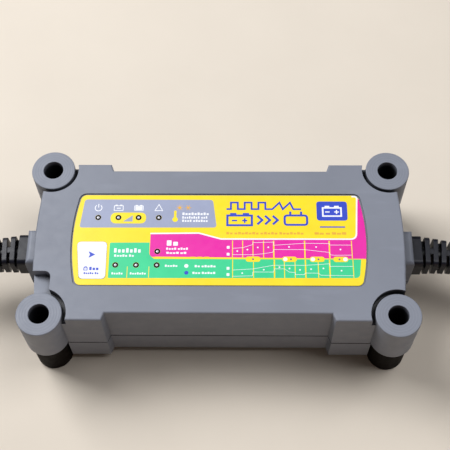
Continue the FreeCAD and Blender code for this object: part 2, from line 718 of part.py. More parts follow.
def transformer_bobbin():
    """Former round the centre leg, with two flanges and foot rails on the board."""
    z0, z1 = CORE_Z + CORE_BACK, CORE_Z + CORE_HEIGHT - CORE_BACK
    width, depth, thick = BOBBIN_FLANGE
    parts = [block(CORE_X, CORE_Y, z0, *BOBBIN_TUBE, z1 - z0)]
    parts += [block(CORE_X, CORE_Y, z, width, depth, thick) for z in (z0, z1 - thick)]
    parts += [box(CORE_X - width / 2, CORE_X + width / 2, CORE_Y + low, CORE_Y + low + BOBBIN_RAIL,
                  BOARD_TOP, z0 + thick) for low in (-depth / 2, depth / 2 - BOBBIN_RAIL)]
    hole = block(CORE_X, CORE_Y, z0 - 1, 2 * CORE_LEG + 0.2, CORE_DEPTH + 0.2, z1 - z0 + 2)
    return fuse(parts).cut(hole)


def transformer_winding():
    """Wound copper and tape between the flanges."""
    thick = BOBBIN_FLANGE[2]
    z0, z1 = CORE_Z + CORE_BACK + thick, CORE_Z + CORE_HEIGHT - CORE_BACK - thick
    body = round_edges(block(CORE_X, CORE_Y, z0, *WINDING_SIZE, z1 - z0), 3.0, is_upright)
    return body.cut(block(CORE_X, CORE_Y, z0 - 1, *BOBBIN_TUBE, z1 - z0 + 2))


def finned_heatsink(x0, x1):
    """Upright plate with fins towards the back wall."""
    top = BOARD_TOP + HEATSINK_HEIGHT
    fins_start = HEATSINK_FACE + 2.0
    plate = box(x0, x1, HEATSINK_FACE, fins_start, BOARD_TOP, top)
    count = int((x1 - x0) // FIN_PITCH)
    pitch = (x1 - x0 - FIN_THICK) / count
    fins = [box(x0 + pitch * index, x0 + pitch * index + FIN_THICK, fins_start, HEATSINK_BACK, BOARD_TOP, top)
            for index in range(count + 1)]
    return fuse([plate] + fins)


def tab_transistor(x):
    """Power transistor with metal tab, flat against a heatsink."""
    width, depth, height = TRANSISTOR_SIZE
    tab_thick, tab_height = TRANSISTOR_TAB
    z0 = BOARD_TOP + TRANSISTOR_LEG
    z1, z2 = z0 + height, z0 + height + tab_height
    body = box(x - width / 2, x + width / 2, HEATSINK_FACE - depth, HEATSINK_FACE, z0, z1)
    tab = box(x - width / 2, x + width / 2, HEATSINK_FACE - tab_thick, HEATSINK_FACE, z1, z2)
    tab = tab.cut(along_y(x, HEATSINK_FACE - 3, HEATSINK_FACE + 1, (z1 + z2) / 2, 1.8))
    legs = [block(x + offset, HEATSINK_FACE - 2.4, BOARD_TOP, 0.8, 0.6, TRANSISTOR_LEG + 0.5)
            for offset in (-TRANSISTOR_LEG_PITCH, 0, TRANSISTOR_LEG_PITCH)]
    return fuse([body, tab] + legs)


def output_inductor():
    """Wound output choke lying on the board."""
    return Part.makeTorus(INDUCTOR_R, INDUCTOR_WIRE_R, V(*INDUCTOR_PLACE, BOARD_TOP + INDUCTOR_WIRE_R))


def control_chips():
    """Primary controller and microcontroller."""
    return Part.makeCompound([block(x, y, BOARD_TOP, width, depth, height)
                              for x, y, width, depth, height in CHIPS])


def optocouplers():
    """Pair of isolating couplers between the mains side and the output side."""
    return Part.makeCompound([block(OPTOCOUPLER_X, y, BOARD_TOP, *OPTOCOUPLER_SIZE) for y in OPTOCOUPLERS_Y])


def board_headers():
    """Connector shells on the main board and under the display board."""
    hung = DISPLAY_TOP - DISPLAY_THICK - HEADER_SIZE[2]
    return Part.makeCompound([block(HEADER_X, HEADER_Y, z, *HEADER_SIZE) for z in (BOARD_TOP, hung)])


def ribbon_cable():
    """Flat cable between the two headers."""
    z0, z1 = BOARD_TOP + HEADER_SIZE[2], DISPLAY_TOP - DISPLAY_THICK - HEADER_SIZE[2]
    return block(HEADER_X, HEADER_Y, z0, *RIBBON_SIZE, z1 - z0)


def tube(points, radius, name=""):
    """Round tube along straight runs joined by tangent arcs as large as the runs allow."""
    route = [V(*point) for point in points]
    edges, start, radii = [], route[0], []
    for before, corner, after in zip(route, route[1:], route[2:]):
        into, out = (corner - before), (after - corner)
        reach = 0.45 * min(into.Length, out.Length)
        into.normalize()
        out.normalize()
        turn = into.getAngle(out)
        arc_radius = reach / math.tan(turn / 2)
        inward = (out - into).normalize()
        first, last = corner - into * reach, corner + out * reach
        middle = corner + inward * (arc_radius / math.cos(turn / 2) - arc_radius)
        edges += [Part.makeLine(start, first), Part.Arc(first, middle, last).toShape()]
        start = last
        radii.append(arc_radius)
    edges.append(Part.makeLine(start, route[-1]))
    path = Part.Wire(edges)
    section = Part.Wire(Part.makeCircle(radius, route[0], route[1] - route[0]))
    solid = path.makePipeShell([section], True, False)
    if name:
        ratio = solid.Volume / (math.pi * radius ** 2 * path.Length)
        print(f"{name}: length {path.Length:.1f}, volume ratio {ratio:.4f}, "
              f"radii {', '.join(f'{value:.0f}' for value in radii)}")
    return solid


def inner_wires(side):
    """Two insulated cores from the boot's flange down to the main board."""
    start_x = COLLAR_FACE - NECK_LENGTH - FLANGE_THICK
    cores = []
    for lateral in (-1, 1):
        points = ((start_x, 1.8 * lateral, CORD_Z), (start_x - 11, 1.8 * lateral, CORD_Z),
                  (start_x - 20, 3.0 * lateral, CORD_Z - 9), (start_x - 29, 3.8 * lateral, CORD_Z - 14),
                  (WIRES_END_X, 4.4 * lateral, BOARD_TOP + 5), (WIRES_END_X, 4.4 * lateral, BOARD_TOP))
        cores.append(tube([(side * x, y, z) for x, y, z in points], WIRE_R))
    return Part.makeCompound(cores)


def boot_frame(side, along):
    """Placement at a distance along the boot's gently bent axis; local X follows the axis."""
    angle = along / BOOT_BEND_R
    droop = math.radians(BOOT_DROOP_DEG)
    forward = V(side, 0, 0)
    inward = V(0, -math.cos(droop), -math.sin(droop))
    bend = forward * math.sin(angle) + inward * (1 - math.cos(angle))
    place = V(side * COLLAR_FACE, 0, CORD_Z) + bend * BOOT_BEND_R
    facing = FreeCAD.Rotation(V(0, 0, 1), 0 if side > 0 else 180)
    turn = FreeCAD.Rotation(forward.cross(inward), math.degrees(angle))
    return FreeCAD.Placement(place, turn.multiply(facing))


def boot_size(along):
    """Width and height of the boot, which taper quickly at first."""
    left = (1 - along / BOOT_LENGTH) ** 1.5
    return (BOOT_END_WIDTH + (BOOT_WIDTH - BOOT_END_WIDTH) * left,
            BOOT_END_HEIGHT + (BOOT_HEIGHT - BOOT_END_HEIGHT) * left)


def placed(solid, placement):
    """Copy of a solid moved by a placement."""
    moved = solid.copy()
    moved.Placement = placement.multiply(moved.Placement)
    return moved


def strain_relief(side):
    """Boot with a flange inside the case, a neck through the collar and linked flexing ribs."""
    start, middle, end = (boot_frame(side, along) for along in (0, BOOT_LENGTH / 2, BOOT_LENGTH))
    axis = Part.Wire(Part.Arc(start.Base, middle.Base, end.Base).toShape())
    section = Part.Wire(Part.makeCircle(BOOT_CORE_R, start.Base, V(side, 0, 0)))
    parts = [axis.makePipeShell([section], True, False)]

    neck = rounded_slab(NECK_LENGTH, NECK_WIDTH, NECK_HEIGHT, NECK_ROUND)
    neck.translate(V(-NECK_LENGTH, 0, 0))
    flange = rounded_slab(FLANGE_THICK, FLANGE_WIDTH, FLANGE_HEIGHT, FLANGE_ROUND)
    flange.translate(V(-NECK_LENGTH - FLANGE_THICK, 0, 0))
    parts += [placed(piece, start) for piece in (neck, flange)]

    width, height = boot_size(0)
    parts.append(placed(rounded_slab(BOOT_BLOCK, width, height, BOOT_BLOCK_ROUND), start))
    count = int((BOOT_LENGTH - BOOT_BLOCK) // BOOT_PITCH)
    for index in range(count):
        web_start = BOOT_BLOCK + BOOT_PITCH * index
        rib_start = web_start + BOOT_PITCH - BOOT_RIB
        width, height = boot_size(rib_start)
        rib = rounded_slab(BOOT_RIB, width, height, BOOT_RIB_ROUND)
        parts.append(placed(rib, boot_frame(side, rib_start)))
        web_length = BOOT_PITCH - BOOT_RIB + 2 * BOOT_WEB_OVERLAP
        if index % 2:
            web = rounded_slab(web_length, BOOT_WEB, height - 2 * BOOT_WEB_INSET, BOOT_WEB_ROUND)
        else:
            web = rounded_slab(web_length, width - 2 * BOOT_WEB_INSET, BOOT_WEB, BOOT_WEB_ROUND)
        parts.append(placed(web, boot_frame(side, web_start - BOOT_WEB_OVERLAP)))
    return fuse(parts)


def coil_point(centre, side, travel_deg, radius, z):
    """Point on a turn, at an angle travelled from where the lead joins the coil."""
    angle = math.radians(COIL_JOIN_DEG - travel_deg)
    return (centre[0] - side * radius * math.sin(angle), centre[1] - radius * math.cos(angle), z)


def coil_centre(lead, side):
    """Centre that puts the last point of the lead on the outer turn."""
    angle = math.radians(COIL_JOIN_DEG)
    outer = COIL_TURN_RADII[0]
    return (lead[-1][0] + side * outer * math.sin(angle), lead[-1][1] + outer * math.cos(angle))


def cord_coil(lead, side):
    """Outer shape of the tied coil: three turns wide and two high."""
    x, y = coil_centre(lead, side)
    return ring(x, y, COIL_BASE, COIL_BASE + 4 * CORD_R,
                COIL_TURN_RADII[0] + CORD_R, COIL_TURN_RADII[-1] - CORD_R)


def tail_route(lead, side):
    """Last turn of the lead, outside the coil on the floor, and then straight into the plug."""
    centre = coil_centre(lead, side)
    steps = int(TAIL_TURN_DEG / TAIL_STEP_DEG)
    route = [coil_point(centre, side, -TAIL_STEP_DEG, TAIL_START_RADIUS, LOWER_TURN_Z)]
    route += [coil_point(centre, side, index * TAIL_STEP_DEG, TAIL_RADIUS, CORD_R)
              for index in range(steps + 1)]
    x, y, z = route[-1]
    return route + [(x - side * 9.0, y - 0.8, z + 0.9), (x - side * 17.0, y - 2.5, PLUG_AXIS_Z)]


def plug_placement(lead, side):
    """Placement at the end of the lead; local X points out of the cord's end."""
    before, end = (V(*point) for point in tail_route(lead, side)[-2:])
    heading = end - before
    azimuth = math.degrees(math.atan2(heading.y, heading.x))
    return FreeCAD.Placement(V(end.x, end.y, PLUG_AXIS_Z), FreeCAD.Rotation(V(0, 0, 1), azimuth))


def cord_ties(lead, side):
    """Two straps wrapped round the section of the coil."""
    centre = coil_centre(lead, side)
    thick = COIL_BASE
    inner_r, outer_r = COIL_TURN_RADII[-1] - CORD_R, COIL_TURN_RADII[0] + CORD_R
    height = COIL_BASE + 4 * CORD_R
    straps = []
    for travel in TIE_ANGLES_DEG:
        strap = box(inner_r - thick, outer_r + thick, -TIE_WIDTH / 2, TIE_WIDTH / 2, 0, height + thick)
        strap = strap.cut(box(inner_r, outer_r, -TIE_WIDTH, TIE_WIDTH, COIL_BASE, height))
        x, y, _ = coil_point(centre, side, travel, 1.0, 0)
        azimuth = math.degrees(math.atan2(y - centre[1], x - centre[0]))
        straps.append(placed(strap, FreeCAD.Placement(V(*centre, 0), FreeCAD.Rotation(V(0, 0, 1), azimuth))))
    return Part.makeCompound(straps)


def plug_relief():
    """Tapered sleeve at the cable end of a plug, in the plug's own axes."""
    return Part.makeCone(CORD_R + 0.6, 5.6, PLUG_RELIEF, V(0, 0, 0), V(1, 0, 0))


def mains_plug():
    """Flat two-pin plug body that widens to its face."""
    face_x = PLUG_RELIEF + PLUG_LENGTH
    shoulder_x = PLUG_RELIEF + PLUG_SHOULDER
    outline = ((PLUG_RELIEF - 1, -PLUG_REAR_WIDTH / 2), (shoulder_x, -PLUG_WIDTH / 2),
               (face_x, -PLUG_WIDTH / 2), (face_x, PLUG_WIDTH / 2),
               (shoulder_x, PLUG_WIDTH / 2), (PLUG_RELIEF - 1, PLUG_REAR_WIDTH / 2))
    body = prism(polygon_face(outline), -PLUG_AXIS_Z, PLUG_AXIS_Z)
    body = round_edges(body, PLUG_ROUND, lambda edge: edge.CenterOfMass.x < face_x - 0.1)
    return placed(fuse([plug_relief(), body]), plug_placement(MAINS_LEAD, -1))


def mains_plug_pins():
    """Two round pins with domed ends."""
    pins = []
    for lateral in (-PIN_SPACING / 2, PIN_SPACING / 2):
        pin = Part.makeCylinder(PIN_R, PIN_LENGTH, V(PLUG_RELIEF + PLUG_LENGTH, lateral, 0), V(1, 0, 0))
        tip_x = PLUG_RELIEF + PLUG_LENGTH + PIN_LENGTH
        pin = pin.makeFillet(1.0, [edge for edge in pin.Edges if edge.BoundBox.XMin > tip_x - 0.1])
        pins.append(pin)
    return placed(Part.makeCompound(pins), plug_placement(MAINS_LEAD, -1))


def output_connector():
    """Two-pole connector body: one bare contact, one inside a sleeve."""
    face_x = PLUG_RELIEF + CONNECTOR_LENGTH
    body = box(PLUG_RELIEF - 1, face_x, -CONNECTOR_WIDTH / 2, CONNECTOR_WIDTH / 2,
               -CONNECTOR_HEIGHT / 2, CONNECTOR_HEIGHT / 2)
    body = round_edges(body, 2.5, lambda edge: edge.CenterOfMass.x < face_x - 0.1)
    sleeve = Part.makeCylinder(SLEEVE_R, CONTACT_LENGTH + 1,
                               V(face_x - 1, -CONTACT_SPACING / 2, 0), V(1, 0, 0))
    well = Part.makeCylinder(CONTACT_R, CONTACT_LENGTH, V(face_x, -CONTACT_SPACING / 2, 0), V(1, 0, 0))
    whole = fuse([plug_relief(), body, sleeve]).cut(well)
    return placed(whole, connector_placement())


def output_connector_contacts():
    """Bare pin and the brass tube inside the sleeve."""
    face_x = PLUG_RELIEF + CONNECTOR_LENGTH
    pin = Part.makeCylinder(CONTACT_R - 0.4, CONTACT_LENGTH, V(face_x, CONTACT_SPACING / 2, 0), V(1, 0, 0))
    socket = Part.makeCylinder(CONTACT_R, CONTACT_LENGTH - 1, V(face_x, -CONTACT_SPACING / 2, 0), V(1, 0, 0))
    socket = socket.cut(Part.makeCylinder(CONTACT_R - 0.35, CONTACT_LENGTH,
                                          V(face_x + 0.5, -CONTACT_SPACING / 2, 0), V(1, 0, 0)))
    return placed(Part.makeCompound([pin, socket]), connector_placement())


def connector_placement():
    """As the plug's, on the output lead."""
    return plug_placement(OUTPUT_LEAD, 1)


def build_nodes():
    """Every node by name."""
    nodes = {
        "upper_shell": upper_shell(),
        "lower_shell": lower_shell(),
        "shell_gasket": shell_gasket(),
        "label_overlay": label_overlay(),
        "mode_key_pad": mode_key_pad(),
        "key_pusher": key_pusher(),
        "tact_switch_plunger": tact_switch_plunger(),
        "tact_switch_body": tact_switch_body(),
        "light_windows": light_windows(),
        "status_leds": status_leds(),
        "display_board": display_board(),
        "display_screws": display_screws(),
        "board_headers": board_headers(),
        "ribbon_cable": ribbon_cable(),
        "main_board": main_board(),
        "board_screws": board_screws(),
        "shell_screws": shell_screws(),
        "rating_plate": rating_plate(),
        "mains_fuse": mains_fuse(),
        "fuse_clips": fuse_clips(),
        "varistor": varistor(),
        "filter_capacitor": filter_capacitor(),
        "choke_core": choke_core(),
        "choke_windings": choke_windings(),
        "bridge_rectifier": bridge_rectifier(),
        "bulk_capacitor": bulk_capacitor(),
        "transformer_core": transformer_core(),
        "transformer_bobbin": transformer_bobbin(),
        "transformer_winding": transformer_winding(),
        "primary_heatsink": finned_heatsink(-21.0, -1.0),
        "power_switch": tab_transistor(-11.0),
        "output_heatsink": finned_heatsink(15.0, 37.0),
        "output_diode": tab_transistor(26.0),
        "output_capacitors": output_capacitors(),
        "output_inductor": output_inductor(),
        "control_chips": control_chips(),
        "optocouplers": optocouplers(),
        "mains_plug": mains_plug(),
        "mains_plug_pins": mains_plug_pins(),
        "output_connector": output_connector(),
        "output_connector_contacts": output_connector_contacts(),
    }
    for x, y in corners(BOSS_X, BOSS_Y):
        name = f"foot_{'front' if y < 0 else 'rear'}_{'left' if x < 0 else 'right'}"
        nodes[name] = foot(x, y)
    for name, lead, side in (("mains", MAINS_LEAD, -1), ("output", OUTPUT_LEAD, 1)):
        nodes[f"{name}_strain_relief"] = strain_relief(side)
        nodes[f"{name}_wires"] = inner_wires(side)
        nodes[f"{name}_cord"] = tube(lead, CORD_R, f"{name}_cord")
        nodes[f"{name}_cord_coil"] = cord_coil(lead, side)
        nodes[f"{name}_cord_tail"] = tube(tail_route(lead, side), CORD_R, f"{name}_cord_tail")
        nodes[f"{name}_cord_ties"] = cord_ties(lead, side)
    return nodes


def main():
    """Writes one STEP file for each node."""
    os.makedirs("parts", exist_ok=True)
    for name, shape in build_nodes().items():
        solids = shape.Solids
        assert solids and shape.isValid(), name
        print(f"{name}: {len(solids)} solid(s), {shape.Volume / 1000:.2f} cm3")
        shape.exportStep(f"parts/{name}.step")


main()
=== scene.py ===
"""Looks of a two-lead battery charger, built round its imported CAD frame.

Everything is in metres in the frame's own axes: X along the case, +Y to the back, +Z up, floor at z = 0.
Drawn sizes are written in millimetres and scaled by MM.
"""

import math

import bmesh
import bpy
from mathutils import Matrix, Vector
from mathutils.geometry import tessellate_polygon


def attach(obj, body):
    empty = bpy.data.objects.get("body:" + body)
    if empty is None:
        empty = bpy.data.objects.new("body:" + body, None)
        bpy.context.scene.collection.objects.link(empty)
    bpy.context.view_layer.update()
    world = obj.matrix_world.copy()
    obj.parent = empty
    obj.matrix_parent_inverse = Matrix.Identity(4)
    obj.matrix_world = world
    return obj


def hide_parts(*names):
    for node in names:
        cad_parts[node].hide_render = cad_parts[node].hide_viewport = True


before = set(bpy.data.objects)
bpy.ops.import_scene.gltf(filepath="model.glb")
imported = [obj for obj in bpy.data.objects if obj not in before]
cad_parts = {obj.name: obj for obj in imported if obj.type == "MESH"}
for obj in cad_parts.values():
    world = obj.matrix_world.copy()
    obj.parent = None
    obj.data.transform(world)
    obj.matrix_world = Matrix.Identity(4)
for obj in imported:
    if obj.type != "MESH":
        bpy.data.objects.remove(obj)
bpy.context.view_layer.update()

MM = 0.001

# Camera
CAMERA_TARGET = Vector((2.59, 13.53, 40.0)) * MM
CAMERA_DISTANCE = 488.74 * MM
CAMERA_AZIMUTH = math.radians(1.70)
CAMERA_ELEVATION = math.radians(62.29)
CAMERA_ROLL = math.radians(-1.36)
CAMERA_LENS = 77.9

# Leads: the CAD route's own points and windings
CORD_R = 3.5
COIL_TURN_RADII = (44.0, 37.0, 30.0)
COIL_JOIN_DEG = 45.0
LOWER_TURN_Z = 4.1
UPPER_TURN_Z = 11.1
TURN_POINTS = 16
TURN_STEP_DEG = 360.0 / TURN_POINTS
TURN_SHIFTS = (0.13, 0.4, 0.68, 0.9)
DROP_TURN = 2
DROP_RADII = (29.6, 29.0, 28.7, 29.2)
DROP_HEIGHTS = (10.4, 8.4, 6.0, 4.5)
TAIL_RADIUS = 51.6
TAIL_STEPS = 10
PLUG_AXIS_Z = 6.85
INTO_PLUG_STEPS = ((9.0, 0.8), (17.0, 2.5))
INTO_PLUG_LIFT = 0.9
MAINS_LEAD = (
    (-139.2, -6.7, 31.2), (-153.9, -11.3, 29.4), (-166.6, -16.6, 21.9),
    (-177.6, -22.9, 14.0), (-187.2, -32.3, UPPER_TURN_Z),
)
OUTPUT_LEAD = (
    (139.2, -6.7, 31.2), (153.8, -11.5, 29.3), (166.3, -17.3, 21.8),
    (177.2, -24.2, 14.0), (186.3, -33.9, UPPER_TURN_Z),
)

# Corner bosses, label, mode key and lights, as in the CAD
BOSS_X = 84.3
BOSS_Y = 39.15
BOSS_R = 10.9
BOSS_TOP = 50.3
BORE_R = 5.0
BORE_MARGIN = 0.3
BORE_SHADE_START = 0.4
BORE_SHADE_FULL = 4.0
BOSS_RING_PITCH = 1.3
LABEL_TOP = 50.5
LABEL_FRONT = -24.3
LABEL_BACK = 24.6
LABEL_HALF = 68.3
LABEL_BULGE = 3.0
KEY_TOP = 50.6
KEY_BACK_Y = -1.5
KEY_FRONT_Y = -21.0
KEY_CORNERS_X = (-68.9, -54.6, -54.3, -66.7)
KEY_PRINT_ROUND = 2.0
KEY_SKIN = 0.14
LIGHT_X0 = -59.7
LIGHT_PITCH = 9.95
LIGHT_ROWS = ((12.0, (0, 1, 2, 3)), (-6.5, (3,)), (-13.8, (1, 2, 3)))
LIGHT_PLACES = [(LIGHT_X0 + LIGHT_PITCH * index, y) for y, columns in LIGHT_ROWS for index in columns]
LIGHT_RING_R = 1.5
DOME_R = 0.72
DOME_HEIGHT = 0.34
DOME_SINK = 0.12

# Print: each level of ink lies a hair above the one below it
INK_STEP = 0.012
INK_SINK = 0.004
FIELD_LEVEL = 0
RULE_LEVEL = 1
SIGN_LEVEL = 2
PILL_LEVEL = 3
DOT_LEVEL = 4
CROSSING_STEP = 0.2

# Coloured fields of the label: corners and how far each is rounded
PANEL_CORNERS = ((-68.6, 6.4), (-1.3, 6.6), (-3.3, 22.1), (-66.9, 22.2))
PANEL_ROUNDS = (1.2, 1.5, 1.8, 1.8)
PINK_CORNERS = ((-33.5, -10.2), (-33.5, 2.8), (-9.9, 3.1), (0.9, -0.1), (66.5, 0.0), (68.3, 22.6))
PINK_ROUNDS = (2.2, 0.0, 4.0, 4.0, 3.2, 0.0)
PINK_TIP = (69.3, 22.4)
PINK_EDGE_HEIGHTS = (22.0, 19.0, 15.0, 10.0, 5.0, 0.0, -5.0, -10.2)
GREEN_CORNERS = (
    (-52.9, -20.7), (67.2, -20.3), (68.3, -10.45), (-31.6, -10.45), (-33.75, -8.0), (-33.75, -1.7),
    (-53.1, -1.8),
)
GREEN_ROUNDS = (0.4, 2.4, 0.0, 2.2, 2.2, 0.0, 0.8)
BAND_CORNERS = ((-33.6, 3.2), (-9.9, 3.5), (0.9, 0.3), (66.6, 0.4), (68.0, 24.05), (65.4, 24.1))
BAND_ROUNDS = (0.0, 4.0, 4.0, 3.2, 1.8, 0.0)
BAND_WIDTH = 0.75

# Signs over the lights
CHARGE_PILL = (-53.6, -36.1, 8.7, 14.8)
CHARGE_PILL_ROUND = 3.0
CHARGE_WEDGE = ((-47.4, 9.8), (-42.7, 9.8), (-42.7, 13.3))
POWER_X = -59.9
POWER_Y = 17.4
POWER_R = 1.7
POWER_LINE = 0.4
POWER_STEM = 2.0
POWER_ARC_DEG = (125, 415)
LOW_BATTERY = (-49.9, 17.3, 4.4, 2.6)
FULL_BATTERY = (-39.9, 17.3, 4.2, 2.4)
LOW_CHARGE = (-49.9, 17.25, 2.0, 0.5)
FULL_CHARGE = (-39.9, 17.3, 3.4, 1.8)
WARNING_CORNERS = ((-31.9, 15.9), (-28.1, 15.9), (-30.0, 19.4))
SIGN_LINE = 0.36
POST_OFFSET = 0.26
POST_WIDTH = 0.26
POST_HEIGHT = 0.16

# Sun, frost star and thermometer beside them
SUN_X = -19.7
FROST_X = -15.5
WEATHER_Y = 17.6
SUN_R = 0.8
SUN_RAYS = 8
SUN_RAY_START = 1.1
SUN_RAY_END = 1.6
SUN_RAY_LINE = 0.32
FROST_ARM = 1.5
FROST_ARMS = 3
THERMOMETER_STEM = (-22.4, -21.2, 11.4, 16.0)
THERMOMETER_ROUND = 0.55
THERMOMETER_BULB = (-21.8, 11.0, 1.35)

# Rows of small blocks in the places of the label's words: x range, y range and blocks in each word
BLOCK_HEIGHTS = (1.0, 0.74, 0.74, 1.0, 0.74, 1.0, 0.74)
BLOCK_GAP = 0.28
WORD_GAP = 0.7
BLOCK_ROUND = 0.12
WHITE_WORDS = (
    (-18.3, -5.3, 13.5, 14.9, (9,)), (-18.3, -6.0, 11.5, 12.8, (8, 3)), (-18.3, -5.8, 9.7, 10.9, (4, 6)),
    (-50.8, -37.9, -7.2, -4.8, (7,)), (-50.6, -41.1, -9.4, -8.2, (5, 2)), (-51.3, -46.0, -18.8, -17.7, (5,)),
    (-42.5, -34.9, -18.8, -17.7, (7,)), (-25.4, -20.0, -3.4, -0.5, (2,)), (-25.6, -15.1, -5.6, -4.4, (4, 4)),
    (-25.5, -15.8, -7.8, -6.7, (4, 2)), (-25.9, -19.9, -14.7, -13.6, (5,)),
    (-11.6, -1.6, -14.9, -13.7, (2, 5)), (-12.6, -1.7, -18.4, -17.3, (3, 5)),
)
AMBER_WORDS = ((3.4, 41.0, 2.9, 4.2, (2, 7, 5, 7)), (46.4, 61.8, 2.9, 4.2, (2, 1, 3)))
KEY_WORDS = ((-62.1, -57.7, -16.6, -14.9, (3,)), (-64.6, -57.6, -18.7, -17.7, (5, 2)))
DASH_STARTS = (-13.7, -10.4, -7.1)
DASH_LENGTH = 2.3
DASH_FRONT = -9.5
DASH_BACK = -9.2

# Charging charts: rules, curves and dots keep the places that the photographed label gives them,
# carried from there into millimetres, so the curves are the maker's own and not made up for this model
CHART_LINE = 0.2
CHART_DOT_R = 0.42
THIN_RULE = 0.4
THICK_RULE = 0.64
PINK_RULES = (6.5, 11.4, 16.4, 21.5, 26.4, 41.4, 53.3, 64.1)
PINK_THICK_RULES = (26.4, 41.4, 53.3)
PINK_RULE_SPAN = (-10.0, -0.5)
GREEN_RULES = (6.6, 16.6, 26.6, 31.4, 36.5, 41.5, 47.6, 53.1, 64.3)
GREEN_THICK_RULES = (26.6, 41.5, 53.1)
GREEN_RULE_SPAN = (-20.35, -10.7)
LIGHT_RULES = (-43.9, -33.5)
LIGHT_RULE_LINE = 0.32
LIGHT_RULE_SPAN = (-20.5, -14.6)
DIVIDER_START = -31.4
DIVIDER_SPAN = (-10.5, -10.15)
DIVIDER_EDGE_Y = -10.3
DIVIDER_SHORT = 0.6
ROW_MARK_X = 4.4
ROW_MARK_PLACES = (-4.2, -7.9, -15.4, -18.7)
ROW_MARK_WIDTH = 1.4
ROW_MARK_HEIGHT = 1.5
ROW_MARK_ROUND = 0.3
STAGE_Y = -10.5
STAGE_PILLS = ((12.9, 19.9), (30.5, 37.4), (43.7, 50.7), (55.0, 62.1))
STAGE_PILL_SPAN = (-11.9, -9.1)
STAGE_PILL_ROUND = 1.35
STAGE_DISCS = (31.9, 45.1, 60.7)
STAGE_DISC_R = 1.05
STAGE_DOTS = (16.4, 34.6, 47.8, 57.9)
STAGE_DOT_R = 0.5
CHART_LINES = (
    ((6.5, -4.7), (11.4, -4.4), (16.2, -2.7), (16.4, -1.6), (26.4, -1.3), (26.4, -3.0), (41.2, -1.9),
     (53.4, -2.0), (53.5, -2.8), (64.1, -2.8)),
    ((6.5, -8.1), (16.4, -8.1), (21.5, -7.6), (26.0, -6.7), (26.4, -5.3), (41.4, -5.3), (53.2, -6.8),
     (53.6, -8.0), (55.2, -8.3), (64.1, -8.2)),
    ((6.6, -16.3), (11.4, -16.0), (16.3, -15.7), (24.7, -14.0), (26.2, -13.7), (40.8, -13.7), (47.7, -13.3),
     (53.0, -12.8), (53.2, -14.2), (64.3, -14.2)),
    ((6.6, -19.6), (16.1, -19.3), (16.3, -17.3), (26.2, -17.3), (26.6, -15.6), (31.4, -15.6), (33.7, -17.3),
     (36.4, -17.5), (36.5, -18.6), (40.7, -18.6), (41.4, -17.8), (47.5, -17.8), (48.7, -18.9),
     (64.3, -19.1)),
)
CHART_DOTS = (
    (8.8, -6.2), (13.7, -5.4), (18.7, -4.2), (23.8, -4.1), (33.8, -3.9), (46.9, -3.9), (58.6, -5.2),
    (11.2, -17.9), (21.5, -16.1), (29.0, -14.7), (33.8, -15.4), (38.8, -16.1), (44.1, -15.7), (50.0, -15.3),
    (58.6, -16.5),
)

# Blue drawing: pulses, a battery, chevrons, a box with two pins, and a block with a battery in it
PULSES = (
    (3.4, 16.9), (5.6, 16.9), (5.6, 20.6), (9.0, 20.6), (9.0, 16.9), (12.4, 16.9), (12.4, 20.6),
    (15.8, 20.6), (15.8, 16.9), (19.2, 16.9), (19.2, 20.6), (22.6, 20.6), (22.6, 16.9), (26.0, 16.9),
    (29.6, 20.6), (31.2, 16.9), (34.8, 20.6), (36.4, 16.9), (40.2, 16.9),
)
PULSE_LINE = 0.95
BIG_BATTERY = (9.9, 10.6, 12.0, 5.4)
BIG_BATTERY_LINE = 1.1
BIG_PLUS = (12.4, 10.5, 2.6, 0.8)
BIG_MINUS = (7.4, 10.5, 2.6, 0.8)
CHEVRON_STARTS = (18.6, 22.4, 26.2)
CHEVRON_Y = 10.8
CHEVRON_HALF = 2.4
CHEVRON_LINE = 1.15
PIN_BOX = (32.0, 43.0, 8.2, 13.4)
PIN_BOX_ROUND = 1.4
PIN_BOX_LINE = 1.1
PIN_PLACES = (34.85, 40.15)
PIN_WIDTH = 1.1
PIN_LENGTH = 1.65
MARK_BLOCK = (47.8, 62.9, 10.6, 21.3)
MARK_BLOCK_ROUND = 1.6
MARK_BAR = (49.1, 61.5, 6.7, 7.4)
MARK_BAR_ROUND = 0.3
MARK_BATTERY = (55.35, 15.4, 9.0, 4.6)
MARK_BATTERY_LINE = 0.8
MARK_PLUS = (57.6, 15.4, 2.2, 0.6)
MARK_MINUS = (53.1, 15.4, 2.2, 0.6)
WHITE_MARK_DISC = (-15.6, -14.2, 1.0)
BLUE_MARK_DISC = (-15.5, -17.8, 1.0)

# Signs on the mode key
KEY_ARROW = ((-63.1, -6.5), (-62.3, -8.3), (-62.9, -10.1), (-59.7, -8.3))
LOCK_BODY = (-63.9, -16.0, 1.6, 1.2)
LOCK_LINE = 0.35
LOCK_RING_R = 0.55
LOCK_RING_LINE = 0.3

# Studio: name, place, size, power in watts and colour of each lamp
LAMPS = (
    ("key_lamp", (-0.72, 0.48, 1.05), 0.7, 21.0, (0.97, 0.98, 1.0)),
    ("top_lamp", (0.66, 0.16, 1.2), 0.8, 9.0, (0.97, 0.98, 1.0)),
    ("fill_lamp", (0.2, -1.2, 0.3), 0.9, 1.3, (1.0, 0.62, 0.36)),
)
LAMP_AIM = (0.0, 0.0, 0.03)
SURROUND_COLOUR = (0.9, 0.93, 1.0, 1.0)
SURROUND_STRENGTH = 0.06
FLOOR_SIDE = 6.0
FLOOR_THICK = 0.02


# ---------------------------------------------------------------- cords

def coil_point(centre, side, travel_deg, radius, z):
    """Point on a turn, at an angle travelled from where the lead joins the coil."""
    angle = math.radians(COIL_JOIN_DEG - travel_deg)
    return (centre[0] - side * radius * math.sin(angle), centre[1] - radius * math.cos(angle), z)


